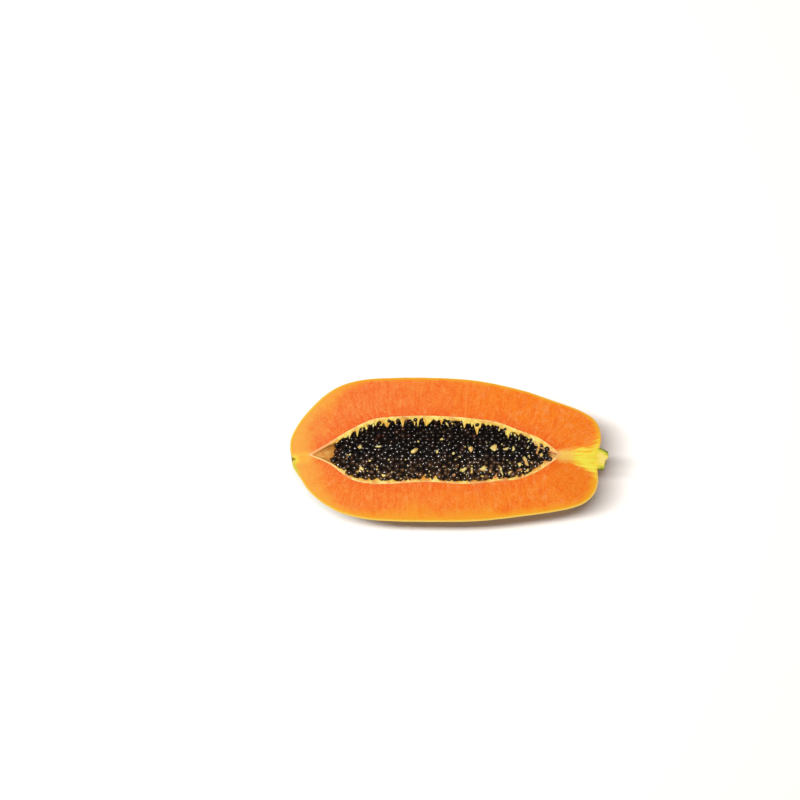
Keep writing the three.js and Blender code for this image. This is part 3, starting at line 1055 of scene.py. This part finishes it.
def fill_sockets(node, values):
    """Links a socket to what makes its value, or writes a plain value on it."""
    for name, value in values.items():
        if isinstance(value, bpy.types.NodeSocket):
            node.id_data.links.new(value, node.inputs[name])
        else:
            node.inputs[name].default_value = value


def add(tree, kind, values=None, **settings):
    """A new node, with its settings and its sockets filled in."""
    node = tree.nodes.new("ShaderNode" + kind)
    for name, value in settings.items():
        setattr(node, name, value)
    fill_sockets(node, values or {})
    return node


def beside(kind, values, **settings):
    """A node in the network that its values come from."""
    tree = next(value.id_data for value in values.values() if isinstance(value, bpy.types.NodeSocket))
    return add(tree, kind, values, **settings)


def sums(operation, first, second, clamp=False):
    return beside("Math", {0: first, 1: second}, operation=operation, use_clamp=clamp).outputs[0]


def times(first, second):
    return sums("MULTIPLY", first, second)


def plus(first, second):
    return sums("ADD", first, second)


def less(first, second):
    return sums("SUBTRACT", first, second)


# %% Ranges, patterns and blends


def stretch(value, low, high, to_low=0.0, to_high=1.0):
    """Turns the range from low to high into another one, with soft ends."""
    values = {"Value": value, "From Min": low, "From Max": high, "To Min": to_low, "To Max": to_high}
    return beside("MapRange", values, interpolation_type="SMOOTHSTEP").outputs[0]


def speckle(place, scale, detail, roughness, distortion=0.0):
    """Soft noise, from 0 to 1."""
    values = {"Vector": place, "Scale": scale, "Detail": detail}
    return beside("TexNoise", {**values, "Roughness": roughness, "Distortion": distortion}).outputs[0]


def drawn_by(place, *scale):
    """The place with each axis on its own scale, which draws a pattern out along the smallest."""
    return beside("Mapping", {"Vector": place, "Scale": scale}).outputs[0]


def axes_of(place):
    return beside("SeparateXYZ", {"Vector": place}).outputs


def blend(share, first, second):
    return beside("Mix", {0: share, 6: first, 7: second}, data_type="RGBA").outputs[2]


def layered(colour, *layers):
    """Paints over a colour. Each has a pattern, where in its range the paint starts and is full, how
    strong it is there, and the paint."""
    for pattern, starts, full, strength, shade in layers:
        colour = blend(times(stretch(pattern, starts, full), strength), colour, paint(*shade))
    return colour


# %% Start, end and wear a finish


def new_finish(name, *attributes):
    """A material's network, the place on the piece, and the measures that the piece stores."""
    finish = bpy.data.materials.new(name)
    finish.use_nodes = True
    tree = finish.node_tree
    tree.nodes.clear()
    place = add(tree, "TexCoord").outputs["Object"]
    stored = [add(tree, "Attribute", attribute_name=known).outputs["Fac"] for known in attributes]
    return finish, place, *stored


def end_finish(height, distance, strength, **sockets):
    """The Principled shader with its bump, from a height and the depth that the height stands for."""
    bump = beside("Bump", {"Height": height, "Distance": distance * MM, "Strength": strength})
    values = {name.replace("_", " "): value for name, value in sockets.items()}
    shader = beside("BsdfPrincipled", {"Normal": bump.outputs[0], **values})
    beside("OutputMaterial", {"Surface": shader.outputs[0]})


def dress(piece, finish, slot, *nodes):
    """Gives a piece its finish, and says what it rides on and takes the place of. The slot is not used."""
    piece.data.materials.clear()
    piece.data.materials.append(finish)
    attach(piece, "root")
    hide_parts(*nodes)
    print(piece.name, "wears", finish.name)


# %% [markdown]
# ## A grain that every moist finish shares
# Flesh, lining and pulp are all soft tissue full of water: at close range they show fine cells and small
# wet dimples. That effect is built once, as a node group with a size, and each finish places it with its
# own value.

# %% Build the wet grain
wet_grain = bpy.data.node_groups.new("Wet grain", "ShaderNodeTree")
for label, kind, way in (
    ("Place", "NodeSocketVector", "INPUT"), ("Size", "NodeSocketFloat", "INPUT"),
    ("Cells", "NodeSocketFloat", "OUTPUT"), ("Wetness", "NodeSocketFloat", "OUTPUT"),
):
    wet_grain.interface.new_socket(name=label, in_out=way, socket_type=kind)
entry, leaving = wet_grain.nodes.new("NodeGroupInput"), wet_grain.nodes.new("NodeGroupOutput")
where, size = entry.outputs["Place"], entry.outputs["Size"]
pores = beside("TexVoronoi", {"Vector": where, "Scale": size}, feature="SMOOTH_F1").outputs["Distance"]
soft = speckle(where, size, 4.0, 0.6)
fill_sockets(leaving, {"Cells": plus(soft, times(pores, 0.5)), "Wetness": stretch(soft, 0.35, 0.65)})


def grain(place, size):
    """The height of the cells, and how wet each spot is."""
    node = place.id_data.nodes.new("ShaderNodeGroup")
    node.node_tree = wet_grain
    fill_sockets(node, {"Place": place, "Size": size})
    return node.outputs["Cells"], node.outputs["Wetness"]


# %% [markdown]
# ## The flesh's finish
# The paints follow the measures stored on the face. From the hollow outwards the flesh goes from red-orange
# through salmon to yellow-orange, with a golden band under the skin that widens at the blossom end. Pale
# threads run from the hollow to the skin, so their noise is stretched along that way. Light sinks a few
# millimetres into it, which the subsurface part of the shader gives.
#
# A stored measure is in millimetres. Object coordinates are in metres, so places along and across the fruit
# are written in metres here.

# %% The flesh's patterns
flesh_finish, place, skin_depth, hollow_depth, around, veins, seam, fan, from_tip, from_pit = new_finish(
    "Papaya flesh", "under_skin", "from_hollow", "around", "veins", "seam", "fan", "from_tip", "from_pit"
)
along_fruit, across_fruit, _ = axes_of(place)
cloud = speckle(place, 42.0, 3.0, 0.55)
blotch = speckle(place, 190.0, 3.0, 0.6, 0.6)
fine_cloud = speckle(place, 620.0, 3.0, 0.65)
bottom = stretch(across_fruit, 0.0, -0.03)
nose = stretch(along_fruit, -0.062, -0.13)
stem_end = stretch(along_fruit, 0.108, 0.126)


def thread_noise(across_step, along_step, detail, bend):
    """Noise drawn out from the hollow to the skin, with threads this wide and long in millimetres."""
    steps = {"X": sums("DIVIDE", around, across_step), "Y": sums("DIVIDE", skin_depth, along_step)}
    return speckle(beside("CombineXYZ", steps).outputs[0], 1.0, detail, 0.6, bend)


def lit_rim(along, across):
    """The part of the outline where a painted highlight runs along the rim: the blossom end and the near
    side.
    """
    return sums("MAXIMUM", stretch(along, -0.085, -0.115), stretch(across, -0.01, -0.04))


threads = thread_noise(2.1, 13.0, 3.0, 0.7)
wide_threads = thread_noise(8.0, 16.0, 2.0, 0.9)

# %% The flesh's colours
colour = blend(stretch(along_fruit, -0.09, 0.06), paint(250, 130, 64), paint(255, 137, 34))
colour = blend(times(bottom, 0.6), colour, paint(253, 140, 44))
inner_red = times(stretch(hollow_depth, 12.0, 0.5), stretch(cloud, 0.32, 0.6, 0.3, 1.0))
inner_red = times(inner_red, stretch(along_fruit, -0.115, -0.07, 0.3, 0.75))
colour = blend(inner_red, colour, paint(246, 100, 34))
colour = layered(
    colour,
    (cloud, 0.5, 0.7, 0.5, (253, 148, 60)),
    (blotch, 0.53, 0.7, 0.65, (254, 162, 88)),
    (blotch, 0.46, 0.3, 0.5, (246, 98, 38)),
    (wide_threads, 0.5, 0.3, 0.4, (247, 102, 38)),
    (threads, 0.5, 0.3, 0.46, (245, 96, 34)),
    (threads, 0.52, 0.72, 0.5, (255, 166, 92)),
    (fine_cloud, 0.5, 0.7, 0.5, (255, 162, 88)),
    (fine_cloud, 0.48, 0.3, 0.5, (242, 94, 34)),
)

# %% The golden band under the skin
belly_band = stretch(along_fruit, 0.08, -0.01, 3.0, 10.0)
belly_band = times(belly_band, stretch(along_fruit, -0.09, -0.05, 0.1, 1.0))
nose_band = stretch(across_fruit, -0.034, -0.012, 11.0, 20.0)
nose_band = less(nose_band, stretch(across_fruit, 0.01, 0.04, 0.0, 5.0))
band_width = plus(plus(times(nose, nose_band), times(bottom, belly_band)), times(stem_end, 3.0))
uneven = plus(stretch(cloud, 0.3, 0.7, 0.3, 1.2), plus(blotch, times(fine_cloud, 0.3)))
band = stretch(sums("DIVIDE", skin_depth, times(plus(band_width, 2.8), uneven)), 1.0, 0.0)
band_paint = blend(nose, paint(252, 172, 50), paint(253, 182, 82))
colour = blend(times(band, 0.88), colour, blend(stem_end, band_paint, paint(252, 186, 52)))
# Painted highlight: at the blossom end and the near side the golden band widens and a brighter line runs at
# the rim.
painted_light_rim = lit_rim(along_fruit, across_fruit)
rim_depth = less(skin_depth, times(painted_light_rim, 0.8))
colour = blend(stretch(rim_depth, 2.1, 1.0), colour, paint(249, 172, 48))
colour = blend(times(stretch(skin_depth, 1.9, 1.3), painted_light_rim), colour, paint(253, 196, 80))

# %% The veins at the stem's end, and the tissue at the tip of the hollow
fan_place = beside("CombineXYZ", {"X": times(fan, 0.8), "Y": times(along_fruit, 55.0)}).outputs[0]
streaks = speckle(fan_place, 1.0, 4.0, 0.65, 0.4)
vein_share = plus(veins, times(less(streaks, 0.52), 1.5))
vein_share = times(stretch(vein_share, 0.08, 0.7), stretch(veins, 0.0, 0.5))
tip_pale = stretch(plus(along_fruit, times(less(streaks, 0.5), 0.02)), 0.109, 0.096)
vein_paint = blend(stretch(streaks, 0.36, 0.62), paint(255, 218, 64), paint(255, 248, 96))
colour = blend(times(vein_share, 0.92), colour, blend(tip_pale, vein_paint, paint(254, 200, 92)))
colour = layered(colour, (plus(from_tip, times(blotch, 0.9)), 1.75, 0.8, 0.85, (254, 204, 100)))

# %% The seam and the pit at the blossom end
seam_streaks = speckle(drawn_by(place, 60.0, 240.0, 1.0), 1.0, 3.0, 0.6, 0.5)
seam_share = times(stretch(seam, 0.0, 1.0), stretch(seam_streaks, 0.25, 0.65, 0.8, 1.1))
colour = blend(sums("MULTIPLY", seam_share, 0.8, clamp=True), colour, paint(254, 188, 78))
colour = blend(stretch(plus(from_pit, times(blotch, 2.0)), 6.4, 2.6), colour, paint(254, 222, 78))
lower_lip = times(stretch(along_fruit, -0.1235, -0.1285), stretch(across_fruit, -0.0085, -0.0115))
colour = blend(times(lower_lip, stretch(skin_depth, 3.6, 1.2)), colour, paint(214, 216, 82))

# %% Finish the flesh
cells_height, wetness = grain(place, 900.0)
end_finish(
    plus(times(threads, 1.6), cells_height), 0.22, 0.6,
    Base_Color=colour, Roughness=stretch(wetness, 0, 1, 0.48, 0.62), IOR=1.36, Specular_IOR_Level=0.14,
    Subsurface_Weight=0.3, Subsurface_Radius=(1.0, 0.36, 0.12), Subsurface_Scale=0.002,
)
dress(flesh, flesh_finish, "flesh", "half_fruit")

# %% [markdown]
# ## The skin's finish
# A ripening papaya turns from green to ochre and orange, first at the stem's end and along its ribs. The
# last green stays at the blossom end and underneath, in soft patches. Over that lie fine dark freckles, a
# few corky brown scars, and a thin wax that makes broad, soft highlights.

# %% The skin's colours
skin_finish, place = new_finish("Papaya skin")
along_fruit, across_fruit, upwards = axes_of(place)
lengthened = drawn_by(place, 0.4, 1.0, 1.0)
patches = speckle(lengthened, 17.0, 4.0, 0.6, 0.8)
mottle = speckle(lengthened, 62.0, 4.0, 0.62, 0.4)
fine_mottle = speckle(place, 330.0, 4.0, 0.65)

colour = blend(stretch(mottle, 0.35, 0.68), paint(240, 172, 26), paint(206, 138, 20))
ripe = stretch(plus(along_fruit, times(patches, 0.1)), 0.06, 0.16)
colour = blend(ripe, colour, paint(255, 174, 36))
colour = layered(colour, (patches, 0.54, 0.7, 0.65, (252, 166, 30)))
unripe_end, unripe_base = stretch(along_fruit, -0.045, -0.125), stretch(upwards, 0.036, 0.004)
unripe = plus(times(unripe_end, 0.62), times(unripe_base, 0.42))
green = stretch(plus(unripe, less(0.5, patches)), 0.34, 0.72)
green_paint = blend(stretch(mottle, 0.4, 0.62), paint(140, 144, 44), paint(100, 120, 44))
colour = blend(times(green, 0.88), colour, green_paint)
colour = layered(
    colour,
    (fine_mottle, 0.5, 0.74, 0.42, (158, 116, 34)),
    (fine_mottle, 0.48, 0.3, 0.3, (255, 202, 92)),
)

# %% Freckles, scars and the cut edge


def dotted(where, scale, largest, missing):
    """Round spots of all sizes from the cells of a Voronoi pattern, with this share of them missing."""
    cells = beside("TexVoronoi", {"Vector": where, "Scale": scale, "Randomness": 1.0}, feature="F1")
    chance = beside("SeparateColor", {"Color": cells.outputs["Color"]}).outputs[0]
    size = stretch(chance, missing, 1.0, -0.1, largest)
    rough_edge = times(less(fine_mottle, 0.5), 0.3)
    return stretch(less(plus(cells.outputs["Distance"], rough_edge), size), 0.05, -0.05)


fine_dots = dotted(place, 620.0, 0.3, 0.35)
freckles = dotted(place, 230.0, 0.26, 0.6)
scars = dotted(lengthened, 26.0, 0.34, 0.8)
dot_share = times(sums("MAXIMUM", fine_dots, freckles), stretch(mottle, 0.36, 0.6, 0.3, 0.85))
colour = blend(dot_share, colour, paint(112, 84, 34))
scar_paint = blend(stretch(fine_mottle, 0.4, 0.6), paint(176, 104, 46), paint(112, 70, 38))
colour = blend(times(scars, 0.8), colour, scar_paint)
cut_edge = stretch(upwards, (CUT_HEIGHT - 1.2) * MM, (CUT_HEIGHT - 0.3) * MM)
# The skin's cut edge is painted brighter where the rim is lit, a painted highlight.
edge_paint = blend(lit_rim(along_fruit, across_fruit), paint(253, 184, 70), paint(255, 210, 98))
colour = blend(cut_edge, colour, edge_paint)

# %% Finish the skin
height = plus(less(times(mottle, 0.8), times(dot_share, 0.5)), times(fine_mottle, 0.4))
height = less(height, times(scars, 0.8))
rough = plus(stretch(mottle, 0.3, 0.7, 0.3, 0.42), times(scars, 0.25))
rough = plus(rough, times(cut_edge, 0.3))
end_finish(
    height, 0.3, 0.6,
    Base_Color=colour, Roughness=rough, IOR=1.45, Specular_IOR_Level=0.22,
    Coat_Weight=times(less(1.0, cut_edge), 0.12), Coat_Roughness=0.24,
    Subsurface_Weight=0.08, Subsurface_Radius=(1.0, 0.5, 0.15), Subsurface_Scale=0.002,
)
dress(skin, skin_finish, "skin", "half_fruit")

# %% [markdown]
# ## The lining, the pulp and the strings
# One pale tissue makes all three, so one recipe with other paints dresses them: light paint broken by warm
# streaks and deeper clouds. The lining has more to tell. It is palest where its teeth stand up by the cut,
# and down the wall it is painted tan, a painted shade of the hollow. Its pale cream spots are partly its own
# colour and partly painted highlights of its wet surface. It is tan in patches along the near lip, and in the
# empty wedge at the blossom end. At the tip of the hollow by the stem it is a pale peach.

# %% Finish the pale tissues


def along_the_wall(colour, dark_and_shade_paint, clouds, place):
    """The lining's paints from place to place round the hollow, with a painted shade down its wall."""
    along, across, upwards = axes_of(place)
    near_side = stretch(across, -0.003, -0.007)
    wedge = stretch(along, -0.093, -0.104)
    # Pale cream spots: partly the lining's own pale colour, partly painted highlights of its wet surface.
    colour = layered(colour, (clouds, 0.46, 0.32, 0.8, (255, 238, 150)))
    # Painted shade: the wall turns to the dark paint as it goes down from the cut.
    down = stretch(upwards, (CUT_HEIGHT - 0.4) * MM, (CUT_HEIGHT - 4.5) * MM)
    colour = blend(times(down, 0.8), colour, dark_and_shade_paint)
    near_patches = times(near_side, stretch(clouds, 0.4, 0.56, 0.15, 0.7))
    colour = blend(near_patches, colour, paint(230, 142, 56))
    tip_paint = blend(stretch(clouds, 0.42, 0.6), paint(255, 212, 122), paint(254, 188, 104))
    colour = blend(times(stretch(along, 0.079, 0.087), 0.85), colour, tip_paint)
    wedge_streaks = speckle(drawn_by(place, 90.0, 700.0, 400.0), 1.0, 3.0, 0.6, 0.4)
    wedge_paint = blend(stretch(wedge_streaks, 0.36, 0.62), paint(240, 150, 76), paint(252, 196, 112))
    colour = blend(times(wedge, 0.85), colour, wedge_paint)
    lip = times(wedge, stretch(upwards, (CUT_HEIGHT - 1.0) * MM, (CUT_HEIGHT - 0.4) * MM))
    return blend(lip, colour, blend(near_side, paint(253, 170, 84), paint(254, 200, 96)))


# Each: its finish, light paint, warm paint, dark paint (on the lining also its painted shade down the wall),
# and then its slot and the solid that it replaces.
PALE_TISSUES = (
    (lining, "Hollow lining", (255, 228, 112), (250, 188, 78), (212, 130, 52), "lining", "seed_lining"),
    (pale_bits, "Unripe seed and pulp", (255, 236, 156), (250, 206, 112), (214, 140, 66), "pale_seed",
     "seeds"),
    (strings, "Torn strings", (246, 186, 120), (226, 128, 78), (176, 84, 48), "lining", "seed_lining"),
)
for piece, name, light, warm, dark_and_shade_paint, slot, node in PALE_TISSUES:
    finish, place = new_finish(name)
    streaks = speckle(drawn_by(place, 1.0, 1.0, 0.3), 420.0, 3.0, 0.6, 0.5)
    clouds = speckle(place, 120.0, 3.0, 0.55)
    colour = blend(stretch(streaks, 0.42, 0.68), paint(*light), paint(*warm))
    colour = layered(colour, (clouds, 0.45, 0.7, 0.7, dark_and_shade_paint))
    if piece == lining:
        colour = along_the_wall(colour, paint(*dark_and_shade_paint), clouds, place)
    cells_height, wetness = grain(place, 1100.0)
    end_finish(
        plus(streaks, cells_height), 0.25, 0.6,
        Base_Color=colour, Roughness=stretch(wetness, 0, 1, 0.36, 0.5), IOR=1.38, Specular_IOR_Level=0.3,
        Subsurface_Weight=0.25, Subsurface_Radius=(1.0, 0.6, 0.3), Subsurface_Scale=0.0015,
        Coat_Weight=0.06, Coat_Roughness=0.15,
    )
    dress(piece, finish, slot, node)

# %% [markdown]
# ## The seeds' finish
# Ripe seeds are almost black, with brown, plum and greenish ones between, so each seed's stored tone picks
# its paint. The wrinkled coat is dull, but a thin wet skin covers it, more in some spots than in others. In
# the shader that is a rough base under a smooth coat, and the coat gives each bead its small bright light.
# Under the far side the seeds are drier, and on the near side some are painted warm brown: painted light, for
# the near seeds that lie lit while the far ones lie in the shade of the far wall.

# %% Finish the seeds
SEED_TONES = (
    (0.0, (0.004, 0.0024, 0.002, 1)), (0.3, (0.007, 0.005, 0.004, 1)), (0.55, (0.004, 0.003, 0.0035, 1)),
    (0.75, (0.015, 0.010, 0.006, 1)), (0.92, (0.022, 0.009, 0.006, 1)), (1.0, (0.046, 0.014, 0.008, 1)),
)
seed_finish, place, tone = new_finish("Wet black seed", "tone")
wrinkles = speckle(place, 1500.0, 4.0, 0.65, 0.8)
ramp = beside("ValToRGB", {"Fac": tone})
steps = ramp.color_ramp.elements
steps.remove(steps[1])
steps[0].position, steps[0].color = SEED_TONES[0]
for position, shade in SEED_TONES[1:]:
    steps.new(position).color = shade
across = axes_of(place)["Y"]
# Painted light: warm brown laid on near-side seeds, which lie lit; the far ones stay dark as in shade.
warm = times(stretch(across, -0.002, -0.02), stretch(speckle(place, 300.0, 2.0, 0.5), 0.44, 0.64))
colour = blend(warm, ramp.outputs[0], (0.15, 0.065, 0.022, 1))
colour = blend(stretch(wrinkles, 0.45, 0.7), colour, (0.003, 0.0015, 0.0015, 1))
wet = stretch(speckle(place, 230.0, 2.0, 0.5), 0.4, 0.6, 0.2, 1.0)
wet = times(wet, stretch(across, 0.012, -0.001, 0.3, 1.0))
end_finish(
    wrinkles, 0.12, 0.7,
    Base_Color=colour, Roughness=0.36, IOR=1.4, Specular_IOR_Level=0.35, Specular_Tint=(1.0, 0.78, 0.58, 1),
    Coat_Weight=wet, Coat_Roughness=0.15, Coat_IOR=1.75,
)
dress(seeds, seed_finish, "seed", "seeds")

# %% Finish the bed
bed_finish, place = new_finish("Deep seeds")
lumps = beside("TexVoronoi", {"Vector": place, "Scale": 190.0}, feature="SMOOTH_F1").outputs["Distance"]
# Near-black paint: the deep seeds' own black with painted shade in the gaps between them.
colour = blend(stretch(lumps, 0.1, 0.6), (0.010, 0.006, 0.005, 1), (0.002, 0.001, 0.001, 1))
end_finish(times(lumps, -1.0), 1.5, 0.8, Base_Color=colour, Roughness=0.7, Specular_IOR_Level=0.1)
dress(bed, bed_finish, "seed", "seeds")

# %% [markdown]
# ## The stump and the scar
# Both are drying, fibrous tissue. In the stump the paint follows the distance from its middle: cream pith,
# yellow wood, and a green rind. Its fibres run along it, so their noise is stretched that way.

# %% Finish the stem stub and the scar
stub_finish, place, rind_depth = new_finish("Stem stub", "under_rind")
fibres = speckle(drawn_by(place, 110.0, 620.0, 620.0), 1.0, 3.0, 0.6, 0.3)
spots = speckle(place, 260.0, 3.0, 0.6)
outwards = stretch(axes_of(place)["X"], 0.1225, 0.1295)
rough_depth = plus(rind_depth, times(less(spots, 0.5), 2.6))
colour = blend(stretch(rough_depth, 2.6, 5.0), paint(248, 226, 88), paint(254, 230, 128))
colour = blend(outwards, paint(252, 222, 74), colour)
colour = layered(
    colour,
    (rough_depth, 3.0, 1.4, outwards, (192, 200, 70)),
    (rough_depth, 1.1, 0.4, outwards, (128, 134, 52)),
    (fibres, 0.5, 0.7, 0.45, (222, 190, 76)),
)
end_finish(
    fibres, 0.5, 0.8, Base_Color=colour, Roughness=0.58, IOR=1.36, Specular_IOR_Level=0.14,
    Subsurface_Weight=0.15, Subsurface_Radius=(1.0, 0.8, 0.3), Subsurface_Scale=0.002,
)
dress(stub, stub_finish, "stem", "half_fruit")

scar_finish, place = new_finish("Blossom scar")
spots = speckle(place, 500.0, 4.0, 0.6, 0.5)
# Olive paint: the scar's dry colour, darkened as painted shade of the notch in the pit.
colour = blend(stretch(spots, 0.4, 0.62), paint(168, 152, 46), paint(112, 100, 38))
end_finish(spots, 0.2, 0.5, Base_Color=colour, Roughness=0.7, Specular_IOR_Level=0.1)
dress(scar, scar_finish, "stem", "half_fruit")

# %% [markdown]
# ## Stage, light and camera
# The half lies on a plain white table. One long soft light hangs above it, a little to the left, so the
# shadow is short below, fades out to the right, and each wet seed shows a small bright light. A pale sky
# keeps the shadows open. The camera looks down on the cut face through a long lens.

# %% Set the stage and the light
select_only()
bpy.ops.mesh.primitive_plane_add(size=6, location=(0, 0, 0))
table = named("table")
table_finish = bpy.data.materials.new("White table")
table_finish.use_nodes = True
white = {"Base Color": (0.95, 0.92, 0.88, 1), "Roughness": 0.7}
fill_sockets(table_finish.node_tree.nodes["Principled BSDF"], white)
table.data.materials.append(table_finish)

world = bpy.data.worlds.new("Pale sky")
world.use_nodes = True
fill_sockets(world.node_tree.nodes["Background"], {"Color": (1.0, 1.0, 1.0, 1), "Strength": 0.15})
bpy.context.scene.world = world


def area_light(name, place, aim, long, wide, power):
    """A long soft light that faces what it is aimed at."""
    data = bpy.data.lights.new(name, "AREA")
    data.shape, data.size, data.size_y, data.energy = "RECTANGLE", long, wide, power
    lamp = bpy.data.objects.new(name, data)
    back = (Vector(place) - Vector(aim)).normalized()
    side = back.cross(Vector((1, 0, 0))).normalized()
    lamp.location = place
    lamp.rotation_euler = Matrix((side.cross(back), side, back)).transposed().to_euler()
    bpy.context.scene.collection.objects.link(lamp)


area_light("key", (-0.5, 0.12, 2.4), (0, 0, 0.04), 1.3, 0.2, 68)

# %% Set up the camera
# Where the fruit's middle falls in the finished picture, in pixels from its left and top edges.
PIXEL, PICTURE_MIDDLE, FRUIT_MIDDLE = 0.84 * MM, 400, (448.9, 449.4)
ELEVATION, DISTANCE, LENS = math.radians(85), 1.867, 100
towards = Vector((0, -math.cos(ELEVATION), math.sin(ELEVATION)))
picture_up = Vector((0, math.sin(ELEVATION), math.cos(ELEVATION)))
aim = Vector((0, 0, CUT_HEIGHT * MM))
aim += Vector((1, 0, 0)) * (PICTURE_MIDDLE - FRUIT_MIDDLE[0]) * PIXEL
aim += picture_up * (FRUIT_MIDDLE[1] - PICTURE_MIDDLE) * PIXEL
camera_data = bpy.data.cameras.new("camera")
camera_data.lens, camera_data.sensor_width = LENS, 36
camera_data.clip_start, camera_data.clip_end = 0.05, 20
camera = bpy.data.objects.new("camera", camera_data)
camera.location = aim + towards * DISTANCE
camera.rotation_euler = (-towards).to_track_quat("-Z", "Y").to_euler()
bpy.context.scene.collection.objects.link(camera)
bpy.context.scene.camera = camera
bpy.context.scene.view_settings.view_transform = "Standard"
print("camera at", [round(c, 3) for c in camera.location])
